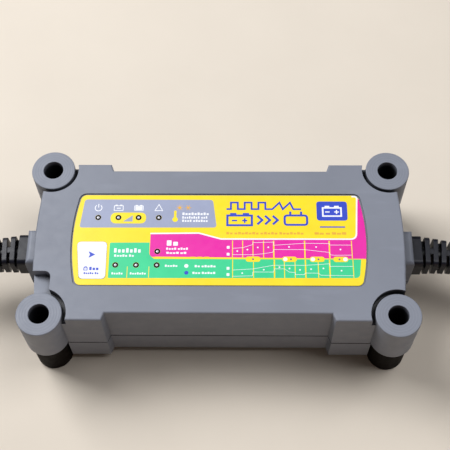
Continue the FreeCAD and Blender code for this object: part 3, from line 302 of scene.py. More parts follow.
def coil_route(centre, side):
    """Three upper turns winding inwards, then three lower turns winding out to the floor turn."""
    outer, middle, inner = COIL_TURN_RADII
    turns = [
        (outer, middle, UPPER_TURN_Z), (middle, inner, UPPER_TURN_Z), (inner, inner, UPPER_TURN_Z),
        (inner, middle, LOWER_TURN_Z), (middle, outer, LOWER_TURN_Z), (outer, TAIL_RADIUS, LOWER_TURN_Z),
    ]
    route = []
    held = TURN_POINTS - len(TURN_SHIFTS)
    for number, (radius, next_radius, z) in enumerate(turns):
        for index in range(held):
            route.append(coil_point(centre, side, index * TURN_STEP_DEG, radius, z))
        for index, shift in enumerate(TURN_SHIFTS):
            place = (radius + shift * (next_radius - radius), z)
            if number == DROP_TURN:
                place = (DROP_RADII[index], DROP_HEIGHTS[index])
            route.append(coil_point(centre, side, (held + index) * TURN_STEP_DEG, *place))
    return route[1:]


def lead_route(lead, side):
    """A lead from its boot, through its coil and the floor turn, to its plug or connector."""
    angle = math.radians(COIL_JOIN_DEG)
    outer = COIL_TURN_RADII[0]
    centre = (lead[-1][0] + side * outer * math.sin(angle), lead[-1][1] + outer * math.cos(angle))
    floor_turn = [coil_point(centre, side, index * TURN_STEP_DEG, TAIL_RADIUS, CORD_R)
                  for index in range(TAIL_STEPS + 1)]
    x, y, z = floor_turn[-1]
    (first_x, first_y), (last_x, last_y) = INTO_PLUG_STEPS
    into_plug = [(x - side * first_x, y - first_y, z + INTO_PLUG_LIFT),
                 (x - side * last_x, y - last_y, PLUG_AXIS_Z)]
    return list(lead) + coil_route(centre, side) + floor_turn + into_plug


def build_lead(name, lead, side):
    """One lead as a smooth round cord that replaces its CAD solids."""
    route = lead_route(lead, side)
    curve = bpy.data.curves.new(f"{name}_lead", "CURVE")
    curve.dimensions = "3D"
    curve.bevel_depth = CORD_R * MM
    curve.bevel_resolution = 6
    curve.resolution_u = 6
    curve.use_fill_caps = True
    spline = curve.splines.new("NURBS")
    spline.points.add(len(route) - 1)
    for point, place in zip(spline.points, route):
        point.co = (*(value * MM for value in place), 1.0)
    spline.order_u = 3
    spline.use_endpoint_u = True
    cord = bpy.data.objects.new(f"{name}_lead", curve)
    bpy.context.scene.collection.objects.link(cord)
    curve.materials.append(FINISHES["cord_sheath"])
    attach(cord, "charger")
    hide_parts(f"{name}_cord", f"{name}_cord_coil", f"{name}_cord_tail")


# ---------------------------------------------------------------- materials

class Finish:
    """A node material: a principled shader plus helpers that add procedural detail in object metres."""

    def __init__(self, name, roughness=0.5, metallic=0.0, **constants):
        self.material = bpy.data.materials.new(name)
        self.material.use_nodes = True
        self.tree = self.material.node_tree
        self.shader = self.tree.nodes["Principled BSDF"]
        self.shader.inputs["Roughness"].default_value = roughness
        self.shader.inputs["Metallic"].default_value = metallic
        for socket, value in constants.items():
            self.shader.inputs[socket.replace("_", " ")].default_value = value
        self.place = self.node("ShaderNodeNewGeometry").outputs["Position"]

    def node(self, kind, **settings):
        made = self.tree.nodes.new(kind)
        for key, value in settings.items():
            setattr(made, key, value)
        return made

    def join(self, source, target):
        self.tree.links.new(source, target)

    def noise(self, size_mm, detail=3.0, stretch=(1, 1, 1), roughness=0.55):
        """Soft noise between 0 and 1 with features of about the given size."""
        scaled = self.node("ShaderNodeVectorMath", operation="MULTIPLY")
        self.join(self.place, scaled.inputs[0])
        scaled.inputs[1].default_value = tuple(1.0 / (size_mm * MM * s) for s in stretch)
        made = self.node("ShaderNodeTexNoise")
        made.inputs["Scale"].default_value = 1.0
        made.inputs["Detail"].default_value = detail
        made.inputs["Roughness"].default_value = roughness
        self.join(scaled.outputs[0], made.inputs["Vector"])
        return made.outputs["Fac"]

    def cells(self, size_mm):
        """Distance to the nearest of many scattered points: fine pebbles."""
        made = self.node("ShaderNodeTexVoronoi")
        made.inputs["Scale"].default_value = 1.0 / (size_mm * MM)
        self.join(self.place, made.inputs["Vector"])
        return made.outputs["Distance"]

    def bands(self, pitch_mm, axis):
        """Rounded bands across an axis, 1 on their crests and 0 between them."""
        made = self.node("ShaderNodeTexWave", wave_type="BANDS", bands_direction=axis, wave_profile="SIN")
        made.inputs["Scale"].default_value = math.pi / (10.0 * pitch_mm * MM)
        made.inputs["Distortion"].default_value = 0.4
        made.inputs["Detail"].default_value = 1.0
        self.join(self.place, made.inputs["Vector"])
        return made.outputs["Fac"]

    def math(self, operation, *values):
        """Result of an operation on sockets and numbers."""
        made = self.node("ShaderNodeMath", operation=operation)
        for socket, value in zip(made.inputs, values):
            if isinstance(value, float):
                socket.default_value = value
            else:
                self.join(value, socket)
        return made.outputs[0]

    def boss_distance(self):
        """Distance from the axis of the nearest corner boss, and the height."""
        split = self.node("ShaderNodeSeparateXYZ")
        self.join(self.place, split.inputs[0])
        across = self.math("SUBTRACT", self.math("ABSOLUTE", split.outputs["X"]), BOSS_X * MM)
        along = self.math("SUBTRACT", self.math("ABSOLUTE", split.outputs["Y"]), BOSS_Y * MM)
        across_squared = self.math("MULTIPLY", across, across)
        squares = self.math("MULTIPLY_ADD", along, along, across_squared)
        return self.math("SQRT", squares), split.outputs["Z"]

    def boss_rings(self):
        """Faint turning rings round the corner bosses, 0.5 elsewhere."""
        radius = self.boss_distance()[0]
        wave = self.math("SINE", self.math("MULTIPLY", radius, 2 * math.pi / (BOSS_RING_PITCH * MM)))
        inside = self.math("LESS_THAN", radius, BOSS_R * MM)
        return self.math("MULTIPLY_ADD", self.math("MULTIPLY", wave, inside), 0.5, 0.5)

    def shade_down_the_bores(self):
        """Mask for painted shade in the boss bores: rises from 0 at the mouth of a bore to 1 a few
        millimetres down it.
        """
        radius, height = self.boss_distance()
        depth = self.remap(height, (BOSS_TOP - BORE_SHADE_START) * MM, (BOSS_TOP - BORE_SHADE_FULL) * MM)
        return self.math("MULTIPLY", depth, self.math("LESS_THAN", radius, (BORE_R + BORE_MARGIN) * MM))

    def remap(self, value, low, high, out_low=0.0, out_high=1.0):
        made = self.node("ShaderNodeMapRange")
        made.inputs["From Min"].default_value = low
        made.inputs["From Max"].default_value = high
        made.inputs["To Min"].default_value = out_low
        made.inputs["To Max"].default_value = out_high
        self.join(value, made.inputs["Value"])
        return made.outputs["Result"]

    def blend(self, factor, first, second):
        """Mix of two colours, each a tuple or a socket."""
        made = self.node("ShaderNodeMix", data_type="RGBA")
        self.join(factor, made.inputs["Factor"])
        first_socket, second_socket = made.inputs[6], made.inputs[7]
        for socket, colour in ((first_socket, first), (second_socket, second)):
            if isinstance(colour, tuple):
                socket.default_value = (*colour, 1.0)
            else:
                self.join(colour, socket)
        return made.outputs[2]

    def edges(self, radius_mm, low=0.02, high=0.25):
        """1 on sharp or finely rounded edges, 0 on open faces."""
        bevel = self.node("ShaderNodeBevel", samples=4)
        bevel.inputs["Radius"].default_value = radius_mm * MM
        flat = self.node("ShaderNodeNewGeometry").outputs["Normal"]
        dot = self.node("ShaderNodeVectorMath", operation="DOT_PRODUCT")
        self.join(bevel.outputs[0], dot.inputs[0])
        self.join(flat, dot.inputs[1])
        return self.remap(dot.outputs["Value"], 1.0 - low, 1.0 - high)

    def crevice_shade(self, reach_mm, low=0.3, high=0.72):
        """Mask for painted shade: 1 deep in grooves and bores, 0 in the open."""
        shelter = self.node("ShaderNodeAmbientOcclusion", samples=8)
        shelter.inputs["Distance"].default_value = reach_mm * MM
        return self.remap(shelter.outputs["AO"], high, low)

    def soft_edges(self, radius_mm):
        """Shades every edge as if it were rounded by a small radius."""
        bevel = self.node("ShaderNodeBevel", samples=4)
        bevel.inputs["Radius"].default_value = radius_mm * MM
        self.join(bevel.outputs["Normal"], self.shader.inputs["Normal"])

    def colour(self, socket):
        self.join(socket, self.shader.inputs["Base Color"])

    def rough(self, value, low, high):
        self.join(self.remap(value, 0.3, 0.7, low, high), self.shader.inputs["Roughness"])

    def bump(self, height, depth_mm, strength=1.0):
        """Height field that shades as relief of the given depth; repeated calls add up."""
        made = self.node("ShaderNodeBump")
        made.inputs["Strength"].default_value = strength
        made.inputs["Distance"].default_value = depth_mm * MM
        self.join(height, made.inputs["Height"])
        if self.shader.inputs["Normal"].is_linked:
            self.join(self.shader.inputs["Normal"].links[0].from_socket, made.inputs["Normal"])
        self.join(made.outputs["Normal"], self.shader.inputs["Normal"])


def rgb(red, green, blue):
    """Linear colour of an 8-bit display colour."""
    def linear(value):
        value /= 255.0
        return value / 12.92 if value <= 0.04045 else ((value + 0.055) / 1.055) ** 2.4
    return (linear(red), linear(green), linear(blue))


def shade(colour, factor, lift=0.0):
    """A colour made lighter or darker."""
    return tuple(min(1.0, part * factor + lift) for part in colour)


def moulded(name, colour, grain_depth=0.02, roughness=(0.45, 0.6)):
    """Moulded plastic: slight shade drift, spark-eroded grain and paler worn edges."""
    finish = Finish(name)
    drift = finish.remap(finish.noise(22.0, 4.0), 0.3, 0.7)
    base = finish.blend(drift, shade(colour, 0.93), shade(colour, 1.07))
    finish.colour(finish.blend(finish.edges(0.5), base, shade(colour, 1.25)))
    finish.rough(finish.noise(6.0, 5.0), *roughness)
    finish.bump(finish.noise(0.35, 2.0), grain_depth)
    return finish.material


def metal(name, colour, roughness=(0.22, 0.4), streak=(1, 1, 8)):
    """Bare metal with fine drawn streaks."""
    finish = Finish(name, metallic=1.0)
    streaks = finish.noise(0.4, 3.0, streak)
    finish.colour(finish.blend(streaks, shade(colour, 0.8), colour))
    finish.rough(streaks, *roughness)
    finish.bump(streaks, 0.01)
    return finish.material


def ink(name, colour, roughness=(0.34, 0.46)):
    """Screen-printed ink under a satin film: faint mottling and a fine orange-peel surface."""
    finish = Finish(name, Specular_IOR_Level=0.45)
    mottle = finish.remap(finish.noise(9.0, 5.0), 0.3, 0.7)
    finish.colour(finish.blend(mottle, shade(colour, 0.95), shade(colour, 1.03)))
    finish.rough(finish.noise(3.0, 4.0), *roughness)
    finish.bump(finish.noise(0.5, 2.0), 0.006)
    return finish.material


def case_plastic(name, colour):
    """Grey moulded case: grain, shade drift, smears, a painted highlight on the edges, painted shade in
    grooves and bores, ringed boss tops.
    """
    finish = Finish(name, Specular_IOR_Level=0.42)
    finish.soft_edges(0.45)
    drift = finish.remap(finish.noise(38.0, 3.0), 0.32, 0.68)
    base = finish.blend(drift, shade(colour, 0.95), shade(colour, 1.05))
    smears = finish.remap(finish.noise(9.0, 6.0, (3.0, 0.7, 1.0)), 0.55, 0.75)
    base = finish.blend(smears, base, shade(colour, 1.1))
    specks = finish.remap(finish.cells(2.4), 0.02, 0.07, 0.5, 0.0)
    base = finish.blend(specks, base, shade(colour, 0.8))
    # painted highlight: edges and boss rims lightened
    base = finish.blend(finish.edges(0.6), base, shade(colour, 1.22))
    # painted shade: grooves, seams and bore mouths darkened almost to black
    base = finish.blend(finish.crevice_shade(5.0), base, shade(colour, 0.08))
    rings = finish.remap(finish.boss_rings(), 0.5, 1.0, 0.0, 0.4)
    base = finish.blend(rings, base, shade(colour, 1.18))
    # painted shade: the bores darken to near black a few millimetres down
    finish.colour(finish.blend(finish.shade_down_the_bores(), base, shade(colour, 0.06)))
    finish.rough(finish.noise(5.0, 6.0), 0.42, 0.58)
    finish.bump(finish.noise(0.32, 2.0), 0.012)
    finish.bump(finish.noise(14.0, 2.0), 0.05)
    finish.bump(finish.boss_rings(), 0.03)
    return finish.material


def rubber(name, colour, roughness=(0.42, 0.58), bloom=0.035, gloss=0.25):
    """Dark rubber: matt grain, pale bloom in patches, scuffed edges and painted shade in grooves."""
    finish = Finish(name, Specular_IOR_Level=gloss)
    finish.soft_edges(0.3)
    patches = finish.remap(finish.noise(7.0, 6.0), 0.45, 0.75)
    base = finish.blend(patches, colour, shade(colour, 1.0, bloom / 2))
    base = finish.blend(finish.edges(0.45), base, shade(colour, 1.5, bloom))
    # painted shade: grooves and gaps between ribs darkened
    finish.colour(finish.blend(finish.crevice_shade(3.0), base, shade(colour, 0.2)))
    finish.rough(finish.noise(4.0, 5.0), *roughness)
    finish.bump(finish.noise(0.28, 2.0), 0.015)
    return finish.material


def woven(name, colour, thread_mm=0.7):
    """Woven strap: crossing threads shown in relief over a colour that varies in fine patches."""
    finish = Finish(name, Sheen_Weight=0.25, Sheen_Roughness=0.5)
    warp = finish.bands(thread_mm, "X")
    weft = finish.bands(thread_mm, "Z")
    weave = finish.blend(warp, weft, (0.5, 0.5, 0.5))
    finish.colour(finish.blend(finish.noise(2.0, 4.0), shade(colour, 0.7), shade(colour, 1.3)))
    finish.rough(finish.noise(1.5, 3.0), 0.75, 0.9)
    finish.bump(weave, 0.12)
    return finish.material


def wound(name, dark, light, wire_mm, axis):
    """Coil of enamelled wire: rounded turns, with painted shade in the gaps between them and a painted
    highlight on their crests.
    """
    finish = Finish(name, metallic=0.7, roughness=0.3)
    turns = finish.bands(wire_mm, axis)
    # painted shade in the gaps between turns, painted highlight on their crests
    finish.colour(finish.blend(turns, dark, light))
    finish.rough(turns, 0.5, 0.25)
    finish.bump(turns, 0.25)
    return finish.material


def laminate(name):
    """Green circuit laminate with faint copper tracks under its mask."""
    finish = Finish(name, Coat_Weight=0.3, Coat_Roughness=0.2)
    tracks = finish.remap(finish.cells(3.6), 0.34, 0.4)
    base = finish.blend(tracks, rgb(22, 92, 52), rgb(30, 118, 66))
    pads = finish.remap(finish.cells(5.2), 0.13, 0.16, 1.0, 0.0)
    finish.colour(finish.blend(pads, base, rgb(196, 190, 176)))
    finish.rough(finish.noise(2.0, 3.0), 0.32, 0.48)
    finish.bump(tracks, 0.03)
    return finish.material


def clear_window(name, colour, roughness):
    """Tinted clear plastic with fine flow lines."""
    finish = Finish(name, roughness=roughness, Transmission_Weight=0.55, IOR=1.49)
    finish.colour(finish.blend(finish.noise(1.2, 3.0), shade(colour, 0.8), colour))
    finish.rough(finish.noise(0.8, 3.0), roughness, roughness + 0.1)
    finish.bump(finish.noise(0.6, 2.0), 0.004)
    return finish.material


FINISHES = {
    "shell_grey": case_plastic("shell_grey", rgb(119, 123, 134)),
    "seal_rubber": rubber("seal_rubber", rgb(14, 14, 15), (0.6, 0.75), 0.005),
    "foot_rubber": rubber("foot_rubber", rgb(14, 8, 5), (0.55, 0.7), 0.002, 0.06),
    "boot_rubber": rubber("boot_rubber", rgb(13, 14, 24), (0.32, 0.44), 0.004, 0.3),
    "cord_sheath": rubber("cord_sheath", rgb(14, 14, 18), (0.34, 0.46), 0.006),
    "tie_strap": woven("tie_strap", rgb(26, 26, 28)),
    "plug_plastic": rubber("plug_plastic", rgb(28, 28, 30), (0.4, 0.55), 0.02),
    "contact_metal": metal("contact_metal", rgb(205, 200, 190)),
    "label_print": ink("label_print", rgb(240, 212, 24)),
    "key_print": ink("key_print", rgb(226, 227, 233)),
    "key_plastic": moulded("key_plastic", rgb(210, 208, 200)),
    "switch_button": moulded("switch_button", rgb(34, 34, 36)),
    "switch_case": metal("switch_case", rgb(178, 180, 182), (0.3, 0.45)),
    "window_clear": rubber("window_clear", rgb(20, 18, 20), (0.12, 0.2), 0.0),
    "lens_clear": ink("lens_clear", rgb(206, 206, 212), (0.08, 0.16)),
    "led_package": moulded("led_package", rgb(240, 238, 226), roughness=(0.3, 0.45)),
    "board_laminate": laminate("board_laminate"),
    "screw_steel": metal("screw_steel", rgb(168, 170, 174), (0.25, 0.4)),
    "header_plastic": moulded("header_plastic", rgb(232, 226, 208)),
    "ribbon_insulation": moulded("ribbon_insulation", rgb(150, 152, 156)),
    "plate_foil": metal("plate_foil", rgb(196, 198, 200), (0.35, 0.5), (1, 12, 1)),
    "fuse_glass": clear_window("fuse_glass", rgb(226, 228, 226), 0.1),
    "clip_brass": metal("clip_brass", rgb(206, 176, 104)),
    "varistor_coat": moulded("varistor_coat", rgb(36, 92, 168), roughness=(0.25, 0.4)),
    "film_case": moulded("film_case", rgb(214, 172, 42), roughness=(0.35, 0.5)),
    "ferrite": moulded("ferrite", rgb(44, 44, 47), grain_depth=0.04, roughness=(0.5, 0.7)),
    "copper_winding": wound("copper_winding", rgb(74, 30, 14), rgb(196, 112, 62), 0.9, "X"),
    "chip_black": moulded("chip_black", rgb(30, 30, 32), roughness=(0.5, 0.65)),
    "can_sleeve": moulded("can_sleeve", rgb(26, 30, 44), roughness=(0.28, 0.4)),
    "bobbin_plastic": moulded("bobbin_plastic", rgb(40, 38, 38)),
    "winding_tape": moulded("winding_tape", rgb(216, 178, 44), roughness=(0.3, 0.42)),
    "heatsink_metal": metal("heatsink_metal", rgb(176, 180, 184), (0.35, 0.5)),
    "core_insulation": moulded("core_insulation", rgb(110, 66, 40), roughness=(0.35, 0.5)),
    "lead_insulation": moulded("lead_insulation", rgb(168, 34, 34), roughness=(0.35, 0.5)),
    "ink_panel": ink("ink_panel", rgb(148, 155, 180)),
    "ink_pink": ink("ink_pink", rgb(220, 24, 156)),
    "ink_green": ink("ink_green", rgb(50, 200, 138)),
    "ink_white": ink("ink_white", rgb(232, 233, 238)),
    "ink_yellow": ink("ink_yellow", rgb(242, 214, 26)),
    "ink_amber": ink("ink_amber", rgb(222, 166, 52)),
    "ink_blue": ink("ink_blue", rgb(44, 68, 186)),
    "ink_violet": ink("ink_violet", rgb(120, 92, 124)),
}


# ---------------------------------------------------------------- printed graphics

def disc(x, y, radius, count=28):
    """Outline of a circle."""
    return [(x + radius * math.cos(2 * math.pi * i / count), y + radius * math.sin(2 * math.pi * i / count))
            for i in range(count)]


def arc_points(x, y, radius, start_deg, end_deg, count=16):
    """Points along an arc."""
    step = math.radians(end_deg - start_deg) / count
    angles = [math.radians(start_deg) + step * index for index in range(count + 1)]
    return [(x + radius * math.cos(angle), y + radius * math.sin(angle)) for angle in angles]


def bar(x0, x1, y0, y1, radius=0.0):
    """Outline of an upright rectangle, its corners rounded if a radius is given."""
    points = [(x0, y0), (x1, y0), (x1, y1), (x0, y1)]
    return rounded(points, radius) if radius else points


def block(x, y, width, height, radius=0.0):
    """Outline of an upright rectangle about its middle."""
    return bar(x - width / 2, x + width / 2, y - height / 2, y + height / 2, radius)


def rounded(points, radius, steps=5):
    """Outline with its corners rounded; radius is one number or one per corner."""
    radii = radius if isinstance(radius, (list, tuple)) else [radius] * len(points)
    out = []
    for index, corner_radius in enumerate(radii):
        here = Vector(points[index])
        before = Vector(points[index - 1]) - here
        after = Vector(points[(index + 1) % len(points)]) - here
        half = before.angle(after) / 2
        if not corner_radius or half > math.radians(89):
            out.append(tuple(here))
            continue
        reach = min(corner_radius / math.tan(half), 0.49 * before.length, 0.49 * after.length)
        start, end = here + before.normalized() * reach, here + after.normalized() * reach
        for step in range(steps + 1):
            t = step / steps
            out.append(tuple(start * (1 - t) ** 2 + here * 2 * t * (1 - t) + end * t ** 2))
    return out


def stroke(points, width):
    """Outline of a line of even width through the points, with mitred turns."""
    path = [Vector(point) for point in points]
    left, right = [], []
    for index, here in enumerate(path):
        ahead = (path[min(index + 1, len(path) - 1)] - here).normalized()
        behind = (here - path[max(index - 1, 0)]).normalized()
        ahead = ahead if ahead.length else behind
        behind = behind if behind.length else ahead
        along = (ahead + behind).normalized()
        across = Vector((-along.y, along.x))
        reach = width / 2 / max(0.4, across.dot(Vector((-ahead.y, ahead.x))))
        left.append(tuple(here + across * reach))
        right.append(tuple(here - across * reach))
    return left + right[::-1]


def hoop(points, width):
    """Outline of a closed line: the outer loop and, as a hole, the inner one."""
    path = [Vector(point) for point in points]
    loops = ([], [])
    for index, here in enumerate(path):
        ahead = (path[(index + 1) % len(path)] - here).normalized()
        behind = (here - path[index - 1]).normalized()
        along = (ahead + behind).normalized()
        across = Vector((along.y, -along.x))
        reach = width / 2 / max(0.4, across.dot(Vector((ahead.y, -ahead.x))))
        loops[0].append(tuple(here + across * reach))
        loops[1].append(tuple(here - across * reach))
    return loops


def add_sheet(form, outline, holes, low, high):
    """Closed sheet between two heights under a flat outline with holes, all in millimetres."""
    loops = [outline] + list(holes)
    flat = [[Vector((x, y, 0.0)) for x, y in loop] for loop in loops]
    bottom = [form.verts.new((x * MM, y * MM, low * MM)) for loop in loops for x, y in loop]
    top = [form.verts.new((x * MM, y * MM, high * MM)) for loop in loops for x, y in loop]
    for triangle in tessellate_polygon(flat):
        form.faces.new([top[index] for index in triangle])
        form.faces.new([bottom[index] for index in reversed(triangle)])
    start = 0
    for loop in loops:
        count = len(loop)
        for index in range(count):
            a, b = start + index, start + (index + 1) % count
            form.faces.new((bottom[a], bottom[b], top[b], top[a]))
        start += count


def print_ink(name, shapes, level, finish, body="charger", slot="label_print", base=LABEL_TOP):
    """One colour of print: closed sheets, each level a hair above the one before."""
    low = base + INK_STEP * level - INK_SINK
    high = base + INK_STEP * (level + 1)
    form = bmesh.new()
    for shape in shapes:
        outline, holes = (shape[0], shape[1:]) if isinstance(shape[0][0], (list, tuple)) else (shape, [])
        add_sheet(form, outline, holes, low, high)
    bmesh.ops.recalc_face_normals(form, faces=form.faces)
    mesh = bpy.data.meshes.new(name)
    form.to_mesh(mesh)
    form.free()
    piece = bpy.data.objects.new(name, mesh)
    bpy.context.scene.collection.objects.link(piece)
    mesh.materials.append(finish)
    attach(piece, body)


def word(x0, x1, y0, y1, counts):
    """Words' places taken by small plain blocks; counts are the blocks in each word."""
    size = y1 - y0
    gap, space = BLOCK_GAP * size, WORD_GAP * size
    gaps = space * (len(counts) - 1) + gap * (sum(counts) - len(counts))
    width = (x1 - x0 - gaps) / sum(counts)
    blocks, x, number = [], x0, 0
    for count in counts:
        for _ in range(count):
            height = size * BLOCK_HEIGHTS[number % len(BLOCK_HEIGHTS)]
            blocks.append(bar(x, x + width, y0, y0 + height, BLOCK_ROUND * size))
            x += width + gap
            number += 1
        x += space - gap
    return blocks


def battery_icon(x, y, width, height, line):
    """Battery outline with its two posts."""
    foot = y + (height + line) / 2
    posts = []
    for side in (-1, 1):
        middle, half = x + side * POST_OFFSET * width, POST_WIDTH * width / 2
        posts.append(bar(middle - half, middle + half, foot, foot + POST_HEIGHT * height))
    return [hoop(block(x, y, width, height), line)] + posts


def plus(x, y, size, line):
    """Plus sign as one outline."""
    s, h = size / 2, line / 2
    return [(x - s, y - h), (x - h, y - h), (x - h, y - s), (x + h, y - s), (x + h, y - h), (x + s, y - h),
            (x + s, y + h), (x + h, y + h), (x + h, y + s), (x - h, y + s), (x - h, y + h), (x - s, y + h)]


def label_edge(y):
    """Half width of the label at a height, on its bowed end."""
    middle, half_height = (LABEL_FRONT + LABEL_BACK) / 2, (LABEL_BACK - LABEL_FRONT) / 2
    return LABEL_HALF + LABEL_BULGE * (1 - ((y - middle) / half_height) ** 2)


def rules(places, thick_places, span):
    """Upright rules of a charging chart."""
    front, back = span
    bars = []
    for x in places:
        half = (THICK_RULE if x in thick_places else THIN_RULE) / 2
        bars.append(bar(x - half, x + half, front, back))
    return bars


def print_fields(rings, pill):
    """The three large coloured fields, with holes for the lights."""
    panel = rounded(PANEL_CORNERS, PANEL_ROUNDS)
    print_ink("print_panel", [[panel, pill, rings[0], rings[3]]], FIELD_LEVEL, FINISHES["ink_panel"])
    bowed_end = [(label_edge(y), y) for y in PINK_EDGE_HEIGHTS]
    pink = rounded(PINK_CORNERS, PINK_ROUNDS) + [PINK_TIP] + bowed_end
    print_ink("print_pink", [[pink, rings[4]]], FIELD_LEVEL, FINISHES["ink_pink"])
    green = rounded(GREEN_CORNERS, GREEN_ROUNDS)
    print_ink("print_green", [[green, *rings[5:]]], FIELD_LEVEL, FINISHES["ink_green"])


def print_white():
    """White band, signs over the lights, words, and the lines and dots of the charts."""
    white = [stroke(rounded(BAND_CORNERS, BAND_ROUNDS), BAND_WIDTH)]
    half_line = POWER_LINE / 2
    white.append(stroke(arc_points(POWER_X, POWER_Y, POWER_R, *POWER_ARC_DEG), POWER_LINE))
    white.append(bar(POWER_X - half_line, POWER_X + half_line,
                     POWER_Y + half_line, POWER_Y + half_line + POWER_STEM))
    white += battery_icon(*LOW_BATTERY, SIGN_LINE) + [block(*LOW_CHARGE)]
    white += battery_icon(*FULL_BATTERY, SIGN_LINE) + [block(*FULL_CHARGE)]
    white.append(hoop(WARNING_CORNERS, SIGN_LINE))
    for place in WHITE_WORDS:
        white += word(*place)
    white.append(disc(*WHITE_MARK_DISC))
    white += [block(ROW_MARK_X, y, ROW_MARK_WIDTH, ROW_MARK_HEIGHT, ROW_MARK_ROUND)
              for y in ROW_MARK_PLACES]
    white += [stroke(line, CHART_LINE) for line in CHART_LINES]
    white += [disc(x, y, CHART_DOT_R, 14) for x, y in CHART_DOTS]
    print_ink("print_white", white, SIGN_LEVEL, FINISHES["ink_white"])


def print_charts(rings, pill):
    """Yellow rules of the charts, the yellow pills on them and the pills' white discs."""
    yellow = [block(x, sum(LIGHT_RULE_SPAN) / 2, LIGHT_RULE_LINE, LIGHT_RULE_SPAN[1] - LIGHT_RULE_SPAN[0])
              for x in LIGHT_RULES]
    yellow += rules(PINK_RULES, PINK_THICK_RULES, PINK_RULE_SPAN)
    yellow += rules(GREEN_RULES, GREEN_THICK_RULES, GREEN_RULE_SPAN)
    yellow.append(bar(DIVIDER_START, label_edge(DIVIDER_EDGE_Y) - DIVIDER_SHORT, *DIVIDER_SPAN))
    print_ink("print_yellow", yellow, RULE_LEVEL, FINISHES["ink_yellow"])
    pills = [bar(x0, x1, *STAGE_PILL_SPAN, STAGE_PILL_ROUND) for x0, x1 in STAGE_PILLS]
    print_ink("print_pills", [[pill, rings[1], rings[2]]] + pills, PILL_LEVEL, FINISHES["ink_yellow"])
    discs = [disc(x, STAGE_Y, STAGE_DISC_R, 20) for x in STAGE_DISCS]
    print_ink("print_pill_discs", discs, DOT_LEVEL, FINISHES["ink_white"])


def print_weather():
    """Sun, frost star and thermometer in the panel, and the small amber marks."""
    sun = [disc(SUN_X, WEATHER_Y, SUN_R)]
    for index in range(SUN_RAYS):
        angle = 2 * math.pi * index / SUN_RAYS
        ray = [(SUN_X + reach * math.cos(angle), WEATHER_Y + reach * math.sin(angle))
               for reach in (SUN_RAY_START, SUN_RAY_END)]
        sun.append(stroke(ray, SUN_RAY_LINE))
    print_ink("print_sun", sun, RULE_LEVEL, FINISHES["ink_amber"])
    for index in range(FROST_ARMS):
        angle = math.pi * index / FROST_ARMS
        arm = [(FROST_X + reach * math.cos(angle), WEATHER_Y + reach * math.sin(angle))
               for reach in (-FROST_ARM, FROST_ARM)]
        print_ink(f"print_frost_{index + 1}", [stroke(arm, SIGN_LINE)], RULE_LEVEL + CROSSING_STEP * index,
                  FINISHES["ink_amber"])
    stem = bar(*THERMOMETER_STEM, THERMOMETER_ROUND)
    print_ink("print_thermometer", [stem], RULE_LEVEL, FINISHES["ink_yellow"])
    print_ink("print_bulb", [disc(*THERMOMETER_BULB)], RULE_LEVEL + CROSSING_STEP, FINISHES["ink_yellow"])
    dashes = [bar(x, x + DASH_LENGTH, DASH_FRONT, DASH_BACK) for x in DASH_STARTS]
    print_ink("print_dashes", dashes, RULE_LEVEL, FINISHES["ink_amber"])
    words = [piece for place in AMBER_WORDS for piece in word(*place)]
    print_ink("print_small_line", words, RULE_LEVEL, FINISHES["ink_amber"])


def print_blue():
    """Blue drawing on the yellow ground, and the blue block with a white battery in it."""
    blue = [stroke(PULSES, PULSE_LINE)] + battery_icon(*BIG_BATTERY, BIG_BATTERY_LINE)
    blue += [plus(*BIG_PLUS), block(*BIG_MINUS)]
    for x in CHEVRON_STARTS:
        turns = [(x, CHEVRON_Y + CHEVRON_HALF), (x + CHEVRON_HALF, CHEVRON_Y), (x, CHEVRON_Y - CHEVRON_HALF)]
        blue.append(stroke(turns, CHEVRON_LINE))
    blue.append(hoop(bar(*PIN_BOX, PIN_BOX_ROUND), PIN_BOX_LINE))
    pin_foot = PIN_BOX[3] + PIN_BOX_LINE / 2
    blue += [block(x, pin_foot + PIN_LENGTH / 2, PIN_WIDTH, PIN_LENGTH) for x in PIN_PLACES]
    blue += [disc(*BLUE_MARK_DISC), bar(*MARK_BAR, MARK_BAR_ROUND), bar(*MARK_BLOCK, MARK_BLOCK_ROUND)]
    print_ink("print_blue", blue, RULE_LEVEL, FINISHES["ink_blue"])
    sign = battery_icon(*MARK_BATTERY, MARK_BATTERY_LINE) + [plus(*MARK_PLUS), block(*MARK_MINUS)]
    print_ink("print_block_sign", sign, SIGN_LEVEL, FINISHES["ink_white"])


def print_label():
    """All colours of the label, from the large fields up to the small signs."""
    rings = [disc(x, y, LIGHT_RING_R) for x, y in LIGHT_PLACES]
    pill = bar(*CHARGE_PILL, CHARGE_PILL_ROUND)
    print_fields(rings, pill)
    print_white()
    print_charts(rings, pill)
    print_weather()
    print_blue()
    print_ink("print_wedge", [CHARGE_WEDGE], DOT_LEVEL, FINISHES["ink_panel"])
    dots = [disc(x, STAGE_Y, STAGE_DOT_R, 14) for x in STAGE_DOTS]
    print_ink("print_pill_dots", dots, DOT_LEVEL, FINISHES["ink_violet"])


def print_key():
    """White face and blue signs on the raised pad of the mode key."""
    left_back, right_back, right_front, left_front = KEY_CORNERS_X
    corners = [(left_front, KEY_FRONT_Y), (right_front, KEY_FRONT_Y), (right_back, KEY_BACK_Y),
               (left_back, KEY_BACK_Y)]
    skin = hoop(rounded(corners, KEY_PRINT_ROUND), 2 * KEY_SKIN)[0]
    lock_x, lock_y, lock_width, lock_height = LOCK_BODY
    ring_y = lock_y + (lock_height + LOCK_LINE) / 2
    signs = [KEY_ARROW, hoop(block(lock_x, lock_y, lock_width, lock_height), LOCK_LINE),
             stroke(arc_points(lock_x, ring_y, LOCK_RING_R, 0, 180), LOCK_RING_LINE)]
    for place in KEY_WORDS:
        signs += word(*place)
    on_key = ("mode_key", "key_print", KEY_TOP)
    print_ink("print_key_face", [skin], FIELD_LEVEL, FINISHES["key_print"], *on_key)
    print_ink("print_key", signs, RULE_LEVEL, FINISHES["ink_blue"], *on_key)


